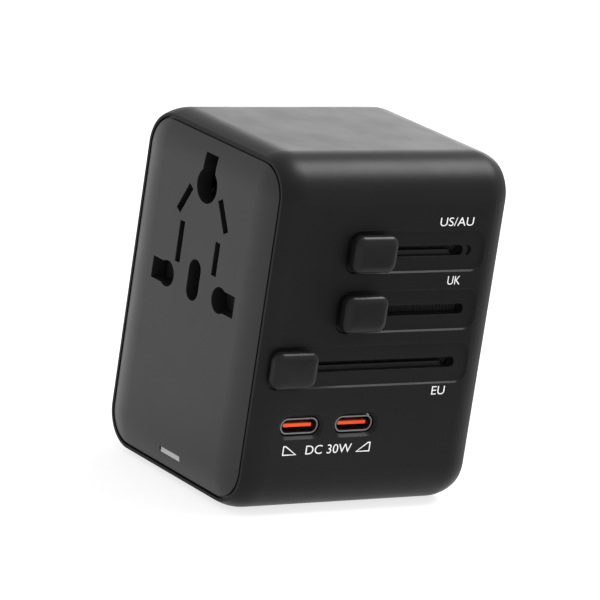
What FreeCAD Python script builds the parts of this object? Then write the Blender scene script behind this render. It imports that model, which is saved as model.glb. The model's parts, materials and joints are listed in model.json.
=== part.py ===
import FreeCAD, Part
import Sketcher
import math
import os
import re

V = FreeCAD.Vector

# Universal travel adapter, in millimetres.  The origin is the middle of the housing's
# bottom face.  The socket face looks along -Y, the three plugs come out along +Y and
# the slider knobs stand on the +X side.

# Driving sizes.  Each one is written once here and reaches the model by its name.
SIZES = {
    # housing shell
    "width": 50.0, "height": 72.0, "depth": 56.0,
    "corner": 8.75, "wall": 1.85,
    "lip_setback": 1.2, "front_round_depth": 5.0, "front_round_inset": 1.25,
    "rear_round_depth": 5.5, "rear_round_side": 9.0, "rear_round_face": 1.8,
    "cover_depth": 3.65, "cover_plate": 2.2,
    "fit_gap": 0.05, "slide_gap": 0.2, "free_gap": 0.3,
    # front panel
    "groove": 0.5, "panel_plate": 1.8, "panel_flange": 1.6, "panel_crown": 1.2, "panel_crown_inner": 0.2,
    "socket_level": 40.0, "round_place": 9.5, "round_radius": 2.65,
    "wing_reach": 14.75, "wing_height": 4.4,
    "us_slot_place": 6.45, "us_slot_width": 1.7, "us_slot_level": 47.45,
    "us_slot_left": 8.4, "us_slot_right": 6.75,
    "au_slot_place": 6.86, "au_slot_level": 56.2, "au_slot_length": 6.7, "au_slot_width": 1.7,
    "au_tilt": 30.0,
    "middle_slot_width": 4.2, "middle_slot_low": 37.2, "middle_slot_high": 45.55,
    "earth_level": 60.55, "earth_radius": 3.55, "earth_notch_width": 4.3, "earth_notch_top": 66.9,
    "lamp_level": 5.4, "lamp_width": 7.2, "lamp_height": 1.25,
    # slider tracks in the side wall
    "track_recess": 0.4, "track_round": 2.5, "track_height": 8.0, "track_slot": 2.2, "track_margin": 0.1,
    "field_draft": 38.0,
    "us_track": 53.7, "uk_track": 41.6, "eu_track": 30.6,
    "us_recess_end": 22.75, "uk_recess_end": 23.0, "eu_recess_end": 23.1,
    "us_slot_end": 17.9, "uk_slot_end": 20.25, "eu_slot_end": 20.14,
    "guide_thick": 1.15, "guide_slot": 1.3, "web_offset": 0.45, "keyhole": 2.5,
    "mark_place": 18.85, "mark_width": 1.1, "mark_depth": 0.6,
    # knobs
    "knob_length": 10.2, "knob_height": 7.3, "cap_shift": 0.45, "cap_lift": 0.15, "knob_round": 1.8,
    "knob_thick": 2.5, "knob_hover": 0.9,
    "knob_chamfer": 0.55, "knob_press": 0.8, "neck_length": 3.8, "neck_height": 1.8, "web_height": 0.9,
    "foot_length": 2.6, "foot_height": 2.8, "foot_thick": 1.2, "arm_half": 2.2, "arm_width": 4.0,
    "us_knob_place": -5.6, "uk_knob_place": -5.8, "eu_knob_place": -20.5,
    "knob_spring_radius": 0.95, "knob_spring_room": 2.2, "spring_wire": 0.14,
    # travels
    "us_travel": 21.5, "uk_travel": 23.0, "eu_travel": 38.0, "shutter_travel": 6.0,
    # US and AU plug
    "us_pin_place": 6.35, "us_pin_level": 48.5, "us_pin_width": 1.5, "us_pin_height": 6.3,
    "us_pin_length": 18.0,
    "us_disc_radius": 4.2, "us_disc_hole": 4.5, "us_disc_seat": 3.0,
    "us_block_half": 11.5, "us_block_low": 44.0, "us_block_high": 53.5, "us_block_depth": 7.1,
    "blade_hole": 1.55, "blade_hole_back": 6.3,
    # UK plug
    "uk_pin_place": 11.1, "uk_pin_level": 39.0, "uk_pin_width": 6.35, "uk_pin_thick": 4.0,
    "uk_pin_length": 17.7,
    "uk_earth_level": 61.2, "uk_earth_width": 4.0, "uk_earth_height": 8.0, "uk_earth_length": 22.7,
    "uk_block_half": 18.0, "uk_block_low": 36.5, "uk_block_high": 43.0, "uk_block_depth": 5.6,
    "uk_column_width": 4.5, "uk_link_low": 57.0, "uk_link_high": 61.5, "uk_earth_half": 4.0,
    "uk_earth_rim": 0.3,
    "uk_sleeve_length": 9.0, "uk_sleeve_wall": 0.4, "pin_bevel": 0.9,
    # EU plug
    "eu_nose_width": 35.3, "eu_nose_height": 13.7, "eu_nose_level": 25.2, "eu_nose_length": 24.5,
    "eu_nose_out": 18.5, "eu_nose_wall": 1.8, "eu_nose_front": 6.5,
    "eu_pin_place": 9.5, "eu_pin_radius": 2.0, "eu_pin_length": 19.0, "eu_sleeve_length": 10.0,
    "eu_sleeve_wall": 0.3,
    # frame inside
    "shelf_level": 34.0, "shelf_thick": 1.6, "runner_place": 7.0, "runner_width": 2.0,
    "shutter_room": 1.8, "shutter_thick": 1.3, "shutter_half": 15.2, "shutter_inner": 6.2,
    "shutter_low": 36.9, "shutter_high": 43.0, "shutter_bridge": 3.3, "shutter_seat": 1.4,
    "ledge_level": 24.0, "ledge_thick": 1.6, "shutter_spring_radius": 0.95,
    "block_half": 17.2, "block_high": 68.0, "block_depth": 14.6, "block_wall": 0.8,
    "chamber_inner": 4.3, "chamber_outer": 16.2, "chamber_low": 36.8, "chamber_high": 60.3,
    "earth_chamber_half": 3.7, "earth_chamber_low": 56.8, "earth_chamber_high": 67.3,
    "leaf": 0.4, "bar_place": 12.5, "bar_thick": 0.6, "bar_low": 44.5, "bar_high": 50.0, "bar_foot": 32.4,
    "tray_low": 43.25, "tray_thick": 0.55,
    "fuse_place": -20.25, "fuse_depth_place": -17.5, "fuse_radius": 2.5, "fuse_low": 44.0,
    "fuse_length": 20.0,
    "fuse_cap": 5.0, "clip_thick": 0.4,
    # electronics
    "board_thick": 1.6, "usb_level": 18.5, "usb_width": 8.94, "usb_height": 3.26, "usb_wall": 0.3,
    "usb_first": -15.1, "usb_second": -2.0, "usb_length": 7.3, "usb_recess": 0.8,
    "usb_hole_width": 9.5, "usb_hole_height": 3.9, "usb_sink": 0.6,
    "tongue_width": 6.7, "tongue_thick": 0.7, "tongue_recess": 0.7,
    "core_place": -10.5, "core_start": -6.0, "core_width": 13.0, "core_depth": 10.0, "core_low": 3.6,
    "core_limb": 2.6, "winding_gap": 0.1, "winding_over": 3.0,
    "input_place": 13.0, "input_start": -16.0, "input_level": 8.6, "input_radius": 5.0, "input_length": 14.0,
    "output_place": 10.5, "output_depth_place": 13.0, "output_radius": 4.0, "output_length": 10.5,
    "choke_place": -10.0, "choke_depth_place": 15.0, "choke_radius": 4.2, "choke_wire": 2.0,
    "bridge_place": 2.5, "bridge_start": 8.0, "bridge_height": 2.6, "chip_height": 1.3,
    "lead_place": -20.4, "lead_radius": 0.4,
    "lamp_sink": 0.55, "lamp_radius": 1.5, "lamp_length": 4.0,
    # cover screws
    "screw_place": 18.3, "screw_inset": 6.7, "screw_radius": 1.25, "screw_head": 2.1, "screw_length": 14.0,
    "screw_sink": 0.3, "screw_slot": 0.5, "boss_radius": 2.6, "boss_length": 18.0,
}

doc = FreeCAD.newDocument("TravelAdapter")
sheet = doc.addObject("Spreadsheet::Sheet", "Spec")
for row, (alias, size) in enumerate(SIZES.items(), 1):
    sheet.set("A%d" % row, alias)
    sheet.set("B%d" % row, str(size))
    sheet.setAlias("B%d" % row, alias)
doc.recompute()

# Places that follow from the driving sizes, as formulas over the sheet.
SIDE = "(width/2)"
INNER = "(width/2 - wall)"
FRONT = "(-depth/2)"
REAR = "(depth/2)"
MIDDLE = "(height/2)"
LIP = "(-depth/2 + lip_setback)"
SEAM = "(depth/2 - cover_depth)"
PLATE = "(depth/2 - cover_plate)"
PANEL_STEP = "(-depth/2 + panel_plate)"
PANEL_BACK = "(-depth/2 + panel_plate + panel_flange)"
BLOCK_FRONT = f"({PANEL_BACK} + shutter_room)"
BLOCK_BACK = f"({BLOCK_FRONT} + block_depth)"
GUIDE_OUT = f"({INNER} - fit_gap)"
GUIDE_IN = f"({GUIDE_OUT} - guide_thick)"
ARM_END = f"({GUIDE_IN} - 0.75)"
FOOT_OUT = f"({ARM_END} - 0.6)"
FOOT_IN = f"({FOOT_OUT} - foot_thick)"
POCKET_IN = f"({FOOT_IN} - knob_spring_room)"
RECESS = f"({SIDE} - track_recess)"
CROWN_WIDTH = "(corner - wall - groove - panel_crown_inner)"
KNOB_IN = f"({RECESS} + knob_hover)"
KNOB_OUT = f"({KNOB_IN} + knob_thick)"
NECK_IN = f"({GUIDE_OUT} + knob_press + 0.1)"
US_FACE = f"({PLATE} - slide_gap - us_travel)"
UK_FACE = f"({PLATE} - slide_gap - uk_travel)"
EU_FACE = f"({REAR} + eu_nose_out - eu_travel)"
BOARD_TOP = "(usb_level - usb_height/2 - 0.02)"
BOARD_LOW = f"({BOARD_TOP} - board_thick)"
SHELF_TOP = "(shelf_level + shelf_thick)"
BAR_IN = "(bar_place - bar_thick/2)"
BAR_OUT = "(bar_place + bar_thick/2)"
DROP_BACK = f"({BLOCK_BACK} + 3.2)"

TURNS = {"x": FreeCAD.Rotation(V(0, 1, 0), 90), "y": FreeCAD.Rotation(V(1, 0, 0), -90),
         "z": FreeCAD.Rotation()}
NODES = []


def full(text):
    """Write a formula with the sheet's name before each of its aliases."""
    return re.sub(r"[a-z]\w*", lambda word: "Spec." + word.group() if word.group() in SIZES else word.group(),
                  str(text))


def bind(item, prop, text):
    item.setExpression(prop, full(text))


def value(text):
    return float(sheet.evalExpression(full(text)))


def node(item):
    """Keep an object as one finished piece; its label names its file."""
    NODES.append(item)
    return item


# Part primitives and booleans

def box(name, x, y, z):
    """A block between two planes on each axis."""
    item = doc.addObject("Part::Box", name)
    for prop, axis, (low, high) in (("Length", "x", x), ("Width", "y", y), ("Height", "z", z)):
        bind(item, "Placement.Base." + axis, low)
        bind(item, prop, f"({high}) - ({low})")
    return item


def block(name, x, y, z, across=0, up=0):
    """A block from one plane to another in Y, with its middle and its widths in X and Z."""
    return box(name, (f"{x} - ({across})/2", f"{x} + ({across})/2"), y,
               (f"{z} - ({up})/2", f"{z} + ({up})/2"))


def place(item, axis, centre):
    item.Placement = FreeCAD.Placement(V(), TURNS[axis])
    for letter, text in zip("xyz", centre):
        bind(item, "Placement.Base." + letter, text)
    return item


def cylinder(name, axis, centre, radius, length):
    """A round bar that starts at its centre point and runs along an axis."""
    item = doc.addObject("Part::Cylinder", name)
    bind(item, "Radius", radius)
    bind(item, "Height", length)
    return place(item, axis, centre)


def cone(name, axis, centre, radius, end_radius, length):
    item = doc.addObject("Part::Cone", name)
    bind(item, "Radius1", radius)
    bind(item, "Radius2", end_radius)
    bind(item, "Height", length)
    return place(item, axis, centre)


def stadium(name, y, half_x, level, half_z, shift=0):
    """A bar along Y whose section has two flat sides and two round ends."""
    low, high = y
    flat = f"({half_x}) - ({half_z})"
    core = box(name + "_core", (f"{shift} - ({flat})", f"{shift} + {flat}"), y,
               (f"{level} - ({half_z})", f"{level} + ({half_z})"))
    ends = [cylinder(name + "_" + word, "y", (f"{shift} + ({side})*({flat})", low, level), half_z,
                     f"({high}) - ({low})") for word, side in (("left", -1), ("right", 1))]
    return fuse(name, core, *ends)


def fuse(name, *pieces):
    item = doc.addObject("Part::MultiFuse", name)
    item.Shapes = list(pieces)
    item.Refine = True
    return item


def cut(name, base, *tools):
    item = doc.addObject("Part::Cut", name)
    item.Base = base
    item.Tool = tools[0] if len(tools) == 1 else fuse(name + "_tools", *tools)
    item.Refine = True
    return item


def group(name, *pieces):
    """Separate solids that share one node."""
    item = doc.addObject("Part::Compound", name)
    item.Links = list(pieces)
    return item


def mirrored(name, source):
    """The same piece on the other side of the plane X = 0."""
    item = doc.addObject("Part::Mirroring", name)
    item.Source = source
    item.Normal = V(1, 0, 0)
    return item


def tilted(name, x, y, z, across, up, angle):
    """A block turned about the Y axis through its own middle; a positive angle leans its top to +X."""
    item = doc.addObject("Part::Box", name)
    item.Placement = FreeCAD.Placement(V(), FreeCAD.Rotation(V(0, 1, 0), 1))
    bind(item, "Length", across)
    bind(item, "Width", f"({y[1]}) - ({y[0]})")
    bind(item, "Height", up)
    bind(item, "Placement.Rotation.Angle", angle)
    bind(item, "Placement.Base.x", f"{x} - (({across})*cos({angle}) + ({up})*sin({angle}))/2")
    bind(item, "Placement.Base.y", y[0])
    bind(item, "Placement.Base.z", f"{z} + (({across})*sin({angle}) - ({up})*cos({angle}))/2")
    return item


def tapered(name, x, y, z, across, up, bevel):
    """A flat pin along Y whose tip narrows on all four sides over the length of its bevel."""
    low, high = y
    bar = block(name + "_bar", x, (low, f"{high} - {bevel}"), z, across, up)
    tip = doc.addObject("Part::Wedge", name + "_tip")
    bind(tip, "Ymin", f"{high} - {bevel}")
    bind(tip, "Ymax", high)
    for letter, middle, size in (("X", x, across), ("Z", z, up)):
        for end, half in (("min", "-"), ("max", "+")):
            bind(tip, letter + end, f"{middle} {half} ({size})/2")
            bind(tip, letter + "2" + end, f"{middle} {half} (({size})/2 - {bevel}/2)")
    return fuse(name, bar, tip)


# PartDesign bodies

def body(name):
    return doc.addObject("PartDesign::Body", name)


def sketch(owner, name, role, at, middle=0):
    """A sketch on one of the body's own planes, moved to a place along the axis it faces."""
    item = owner.newObject("Sketcher::SketchObject", name)
    item.AttachmentSupport = [([plane for plane in owner.Origin.OriginFeatures if plane.Role == role][0], "")]
    item.MapMode = "FlatFace"
    bind(item, "AttachmentOffset.Base.z", f"-({at})" if role == "XZ_Plane" else at)
    bind(item, "AttachmentOffset.Base.y", middle)
    return item


def hold(item, constraint, name, text):
    """Add a constraint whose size follows a formula."""
    item.renameConstraint(item.addConstraint(constraint), name)
    bind(item, "Constraints." + name, text)


def rounded(item, left, right, low, high, corner):
    """A rectangle with rounded corners, drawn counter-clockwise from its right side."""
    x0, x1, y0, y1, radius = [value(text) for text in (left, right, low, high, corner)]
    corners = ((x1, y1, 0), (x0, y1, 1), (x0, y0, 2), (x1, y0, 3))
    steps = ((0, 1), (-1, 0), (0, -1), (1, 0))
    lines = []
    for x, y, quarter in corners:
        along, after = steps[quarter], steps[(quarter + 1) % 4]
        centre = V(x + radius * (after[0] - along[0]), y + radius * (after[1] - along[1]), 0)
        last = corners[quarter - 1]
        start = V(last[0] + radius * along[0], last[1] + radius * along[1], 0)
        end = V(x - radius * along[0], y - radius * along[1], 0)
        lines.append(Part.LineSegment(start, end))
        turn = quarter * math.pi / 2
        lines.append(Part.ArcOfCircle(Part.Circle(centre, V(0, 0, 1), radius), turn, turn + math.pi / 2))
    item.addGeometry(lines, False)
    for side in range(8):
        item.addConstraint(Sketcher.Constraint("Tangent", side, 2, (side + 1) % 8, 1))
    for side, way in ((0, "Vertical"), (2, "Horizontal"), (4, "Vertical"), (6, "Horizontal")):
        item.addConstraint(Sketcher.Constraint(way, side))
    for arc in (3, 5, 7):
        item.addConstraint(Sketcher.Constraint("Equal", 1, arc))
    hold(item, Sketcher.Constraint("Radius", 1, radius), "corner", corner)
    hold(item, Sketcher.Constraint("DistanceX", -1, 1, 0, 1, x1), "right", right)
    hold(item, Sketcher.Constraint("DistanceX", -1, 1, 4, 1, x0), "left", left)
    hold(item, Sketcher.Constraint("DistanceY", -1, 1, 2, 1, y1), "high", high)
    hold(item, Sketcher.Constraint("DistanceY", -1, 1, 6, 1, y0), "low", low)
    return item


def outline(owner, name, at, half_x, half_z, corner):
    """A rounded rectangle about the housing's middle, facing the socket side."""
    item = sketch(owner, name, "XZ_Plane", at, MIDDLE)
    return rounded(item, f"-({half_x})", half_x, f"-({half_z})", half_z, corner)


def pad(owner, profile, length, backwards=False, draft=None):
    """A solid on a sketch; a draft is the angle by which its sides spread on the way out."""
    item = owner.newObject("PartDesign::Pad", profile.Name + "_pad")
    item.Profile = profile
    bind(item, "Length", length)
    if draft:
        bind(item, "TaperAngle", draft)
    item.Reversed = backwards
    doc.recompute()
    return item


def pocket(owner, profile, length, backwards=False):
    item = owner.newObject("PartDesign::Pocket", profile.Name + "_pocket")
    item.Profile = profile
    bind(item, "Length", length)
    item.Reversed = backwards
    before = item.BaseFeature.Shape.Volume
    doc.recompute()
    if item.Shape.Volume >= before:
        raise RuntimeError(item.Name + " cuts nothing")
    return item


def round_edge(owner, name, spine, half_x, half_z, corner, start, end, arcs):
    """Cut a soft edge all round: an arc profile in a level plane is carried along an outline.

    The profile leaves the side wall at the height `start` along Y, tangent to it, and
    reaches `end`.  `arcs` holds one radius, or two for an edge that ends tangent to the face.
    """
    item = sketch(owner, name, "XY_Plane", f"{MIDDLE} - ({half_z}) + ({corner})")
    edge, first, last = value(half_x), value(start), value(end)
    way = 1 if last > first else -1
    radius = value(arcs[0])
    centre = V(edge - radius, first, 0)
    if len(arcs) == 1:
        turn = math.asin(abs(last - first) / radius)
        finish = V(centre.x + radius * math.cos(turn), last, 0)
    else:
        small = value(arcs[1])
        drop = abs(last - first) - small
        turn = math.asin(drop / (radius - small))
        hub = V(centre.x + (radius - small) * math.cos(turn), last - way * small, 0)
        finish = V(hub.x, last, 0)
    angles = (0, turn) if way > 0 else (2 * math.pi - turn, 2 * math.pi)
    lines = [Part.ArcOfCircle(Part.Circle(centre, V(0, 0, 1), radius), *angles)]
    head, tail = (1, 2) if way > 0 else (2, 1)
    if len(arcs) == 2:
        angles = (turn, math.pi / 2) if way > 0 else (1.5 * math.pi, 2 * math.pi - turn)
        lines.append(Part.ArcOfCircle(Part.Circle(hub, V(0, 0, 1), small), *angles))
    count = len(lines)
    past = V(0, way, 0)
    out = V(1, 0, 0)
    start_point = V(edge, first, 0)
    corner_point = V(edge + 1, last + way, 0)
    lines.append(Part.LineSegment(finish, finish + past))
    lines.append(Part.LineSegment(finish + past, corner_point))
    lines.append(Part.LineSegment(corner_point, start_point + out))
    lines.append(Part.LineSegment(start_point + out, start_point))
    item.addGeometry(lines, False)
    join = Sketcher.Constraint
    if count == 2:
        item.addConstraint(join("Tangent", 0, tail, 1, head))
        item.addConstraint(join("Vertical", 1, 3, 1, tail))
        hold(item, join("Radius", 1, small), "face_arc", arcs[1])
    item.addConstraint(join("Coincident", count - 1, tail, count, 1))
    for line in range(count, count + 3):
        item.addConstraint(join("Coincident", line, 2, line + 1, 1))
    item.addConstraint(join("Coincident", count + 3, 2, 0, head))
    item.addConstraint(join("Horizontal", 0, 3, 0, head))
    for line, direction in enumerate(("Vertical", "Horizontal", "Vertical", "Horizontal"), count):
        item.addConstraint(join(direction, line))
    hold(item, join("Radius", 0, radius), "side_arc", arcs[0])
    hold(item, join("DistanceX", -1, 1, 0, head, edge), "edge", half_x)
    hold(item, join("DistanceY", -1, 1, 0, head, first), "start", start)
    hold(item, join("DistanceY", -1, 1, count - 1, tail, last), "finish", end)
    hold(item, join("DistanceX", count + 3, 2, count + 3, 1, 1.0), "clear", 1)
    hold(item, join("DistanceY", count, 1, count, 2, float(way)), "past", way)
    pipe = owner.newObject("PartDesign::SubtractivePipe", name + "_sweep")
    pipe.Profile = item
    pipe.Spine = (spine, [])
    before = pipe.BaseFeature.Shape.Volume
    doc.recompute()
    if pipe.Shape.Volume >= before:
        raise RuntimeError(pipe.Name + " cuts nothing")


def arc_through(depth, inset):
    """Radius of an arc that leaves a wall tangent to it and is `inset` off it after `depth`."""
    return f"(({depth})^2 + ({inset})^2)/(2*({inset}))"


def round_rear(owner, spine, name):
    round_edge(owner, name, spine, SIDE, MIDDLE, "corner", f"{REAR} - rear_round_depth", REAR,
               ("rear_round_side", "rear_round_face"))


def spring(name, axis, start, radius, wire, length):
    """The room that a coil spring fills between two planes: a thin tube about its wire."""
    start = [f"{text} + 0.02" if letter == axis else text for letter, text in zip("xyz", start)]
    high = f"{length} - 0.04"
    return cut(name, cylinder(name + "_outside", axis, start, f"{radius} + {wire}", high),
               cylinder(name + "_inside", axis, start, f"{radius} - {wire}", high))


# Housing: sleeve, front panel, rear cover and side guide

US_SLIDE = ("us", "us_track", "us_knob_place", "web_offset")
UK_SLIDE = ("uk", "uk_track", "uk_knob_place", 0)
EU_SLIDE = ("eu", "eu_track", "eu_knob_place", "web_offset")
SLIDES = (US_SLIDE, UK_SLIDE, EU_SLIDE)


def track_cutter(word, level, knob):
    """The sunk field behind one knob, and the slot that its neck runs in."""
    owner = body(word + "_track_field")
    profile = rounded(sketch(owner, word + "_field", "YZ_Plane", RECESS, level),
                      f"{knob} + cap_shift - knob_length/2 - track_margin", word + "_recess_end",
                      "-track_height/2", "track_height/2", "track_round")
    pad(owner, profile, 1, draft="field_draft")
    slot = slot_bar(word + "_track_slot", (f"{INNER} - 1", f"{SIDE} + 1"),
                    (f"{knob} - neck_length/2 - free_gap", word + "_slot_end"), level, "track_slot")
    return owner, slot


def slot_bar(name, x, y, level, height):
    """A bar along X whose section is long in Y and has round ends."""
    ends = (f"{y[0]} + ({height})/2", f"{y[1]} - ({height})/2")
    core = box(name + "_core", x, ends, (f"{level} - ({height})/2", f"{level} + ({height})/2"))
    rounds = [cylinder(name + "_" + word, "x", (x[0], end, level), f"({height})/2", f"({x[1]}) - ({x[0]})")
              for word, end in zip(("front", "back"), ends)]
    return fuse(name, core, *rounds)


def port_bar(name, place_y, x, half_width, half_height):
    """A bar along X with round ends, on the centre of one USB port."""
    return slot_bar(name, x, (f"{place_y} - ({half_width})", f"{place_y} + ({half_width})"), "usb_level",
                    f"2*({half_height})")


def port_sink(word, place_y):
    """The slanted rim round one USB port, cut as deep as it is wide."""
    owner = body("port_sink_" + word)
    half_y, half_z = "usb_hole_width/2", "usb_hole_height/2"
    profile = rounded(sketch(owner, word + "_port_rim", "YZ_Plane", f"{SIDE} - usb_sink", "usb_level"),
                      f"{place_y} - {half_y}", f"{place_y} + {half_y}", f"-{half_z}", half_z,
                      f"{half_z} - free_gap")
    pad(owner, profile, 1.2, draft="45")
    return owner


def stop_mark():
    """A shallow crescent just past the end of the top slot."""
    depth = (f"{RECESS} - mark_depth", "mark_depth + 1")
    full_moon = cylinder("mark_round", "x", (depth[0], "mark_place", "us_track"), "track_slot/2", depth[1])
    shade = cylinder("mark_shade", "x", (depth[0] + " - 1", "mark_place - mark_width", "us_track"),
                     "track_slot/2 + 0.1", "mark_depth + 3")
    return cut("stop_mark", full_moon, shade)


PORTS = (("front", "usb_first"), ("back", "usb_second"))


def screw_places():
    for side in (-1, 1):
        for level in ("screw_inset", "height - screw_inset"):
            yield f"{side}*screw_place", level, side


def housing_sleeve():
    owner = body("sleeve_shell")
    spine = outline(owner, "sleeve_outline", LIP, SIDE, MIDDLE, "corner")
    pad(owner, spine, f"{SEAM} - {LIP}", True)
    round_edge(owner, "sleeve_front_edge", spine, SIDE, MIDDLE, "corner", f"{LIP} + front_round_depth", LIP,
               (arc_through("front_round_depth", "front_round_inset"),))
    round_rear(owner, spine, "sleeve_rear_edge")
    bore = outline(owner, "sleeve_bore", LIP, INNER, f"{MIDDLE} - wall", "corner - wall")
    pocket(owner, bore, "depth")
    tools = []
    for word, level, knob, _ in SLIDES:
        tools.extend(track_cutter(word, level, knob))
    tools.append(stop_mark())
    for word, place_y in PORTS:
        tools.append(port_bar("port_hole_" + word, place_y, (f"{INNER} - 1", f"{SIDE} + 1"),
                              "usb_hole_width/2", "usb_hole_height/2"))
        tools.append(port_sink(word, place_y))
    bosses = []
    for number, (x, z, side) in enumerate(screw_places()):
        bosses.append(cylinder("boss_%d" % number, "y", (x, f"{PLATE} - 0.1 - boss_length", z), "boss_radius",
                               "boss_length"))
        wall_x = (x, f"{INNER} + wall/4") if side > 0 else (f"-({INNER}) - wall/4", x)
        bosses.append(box("boss_web_%d" % number, wall_x, (f"{PLATE} - 0.1 - boss_length", SEAM),
                          (f"{z} - 0.7", f"{z} + 0.7")))
        tools.append(cylinder("boss_bore_%d" % number, "y", (x, f"{PLATE} - screw_length", z),
                              "screw_radius + fit_gap", "screw_length + 1"))
    return node(cut("housing_sleeve", fuse("sleeve_with_bosses", owner, *bosses), *tools))


def panel_crown(owner, spine, half_x, half_z, corner):
    """Bend the front face back along its edges: an arc, tangent to the face, swept all round."""
    item = sketch(owner, "panel_crown", "XY_Plane", f"{MIDDLE} - ({half_z}) + ({corner})")
    edge, face, wide, drop = value(half_x), value(FRONT), value(CROWN_WIDTH), value("panel_crown")
    radius = value(arc_through(CROWN_WIDTH, "panel_crown"))
    turn = math.asin(wide / radius)
    arc = Part.Circle(V(edge - wide, face + radius, 0), V(0, 0, 1), radius)
    corners = (V(edge, face + drop, 0), V(edge + 1, face + drop, 0), V(edge + 1, face - 1, 0),
               V(edge - wide, face - 1, 0), V(edge - wide, face, 0))
    lines = [Part.ArcOfCircle(arc, 1.5 * math.pi, 1.5 * math.pi + turn)]
    lines.extend(Part.LineSegment(first, second) for first, second in zip(corners, corners[1:]))
    item.addGeometry(lines, False)
    join = Sketcher.Constraint
    for line in range(4):
        item.addConstraint(join("Coincident", line, 2, line + 1, 1))
    item.addConstraint(join("Coincident", 4, 2, 0, 1))
    item.addConstraint(join("Vertical", 0, 3, 0, 1))
    for line, direction in enumerate(("Horizontal", "Vertical", "Horizontal", "Vertical"), 1):
        item.addConstraint(join(direction, line))
    hold(item, join("Radius", 0, radius), "crown_arc", arc_through(CROWN_WIDTH, "panel_crown"))
    hold(item, join("DistanceX", -1, 1, 0, 1, edge - wide), "inner", f"{half_x} - {CROWN_WIDTH}")
    hold(item, join("DistanceY", -1, 1, 0, 1, face), "face", FRONT)
    hold(item, join("DistanceX", -1, 1, 0, 2, edge), "edge", half_x)
    hold(item, join("DistanceX", 1, 1, 1, 2, 1.0), "clear", 1)
    hold(item, join("DistanceY", 4, 1, 4, 2, 1.0), "past", 1)
    pipe = owner.newObject("PartDesign::SubtractivePipe", "panel_crown_sweep")
    pipe.Profile = item
    pipe.Spine = (spine, [])
    doc.recompute()


def front_panel():
    owner = body("panel_body")
    half_x = f"({INNER} - groove)"
    half_z = f"({MIDDLE} - wall - groove)"
    spine = outline(owner, "panel_outline", FRONT, half_x, half_z, "corner - wall - groove")
    pad(owner, spine, "panel_plate", True)
    panel_crown(owner, spine, half_x, half_z, "corner - wall - groove")
    flange = outline(owner, "panel_flange_outline", PANEL_STEP, f"{INNER} - fit_gap",
                     f"{MIDDLE} - wall - fit_gap", "corner - wall - fit_gap")
    pad(owner, flange, "panel_flange", True)
    ledge = block("spring_ledge", "0", (PANEL_BACK, f"{PANEL_BACK} + 2.7"), "ledge_level - ledge_thick/2",
                  5, "ledge_thick")
    strips = [box("shutter_strip_" + word,
                  (f"{side}*(shutter_half + 0.7) - 0.5", f"{side}*(shutter_half + 0.7) + 0.5"),
                  (PANEL_BACK, f"{BLOCK_FRONT} - 0.1"),
                  ("shutter_low - shutter_bridge - shutter_travel", "shutter_high + 1"))
              for word, side in (("left", -1), ("right", 1))]
    through = (f"{FRONT} - 1", f"{PANEL_BACK} + 1")
    length = f"{through[1]} - ({through[0]})"
    tools = []
    for word, side, slot_length in (("left", -1, "us_slot_left"), ("right", 1, "us_slot_right")):
        inner, outer = sorted((f"{side}*round_place", f"{side}*wing_reach"), key=value)
        tools.append(cylinder("round_hole_" + word, "y", (f"{side}*round_place", through[0], "socket_level"),
                              "round_radius", length))
        tools.append(box("wing_hole_" + word, (inner, outer), through,
                         ("socket_level - wing_height/2", "socket_level + wing_height/2")))
        tools.append(block("us_slot_" + word, f"{side}*us_slot_place", through, "us_slot_level",
                           "us_slot_width", slot_length))
        tools.append(tilted("au_slot_" + word, f"{side}*au_slot_place", through, "au_slot_level",
                            "au_slot_width", "au_slot_length", f"{-side}*au_tilt"))
    half = "middle_slot_width/2"
    tools.append(block("middle_slot", "0", through, "(middle_slot_low + middle_slot_high)/2",
                       "middle_slot_width", "middle_slot_high - middle_slot_low - middle_slot_width"))
    for word, level in (("low", f"middle_slot_low + {half}"), ("high", f"middle_slot_high - {half}")):
        tools.append(cylinder("middle_slot_" + word, "y", ("0", through[0], level), half, length))
    tools.append(cylinder("earth_hole", "y", ("0", through[0], "earth_level"), "earth_radius", length))
    tools.append(box("earth_notch", ("-earth_notch_width/2", "earth_notch_width/2"), through,
                     ("earth_level", "earth_notch_top")))
    tools.append(block("lamp_window", "0", through, "lamp_level", "lamp_width", "lamp_height"))
    return node(cut("front_panel", fuse("panel_with_ribs", owner, ledge, *strips), *tools))


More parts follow.
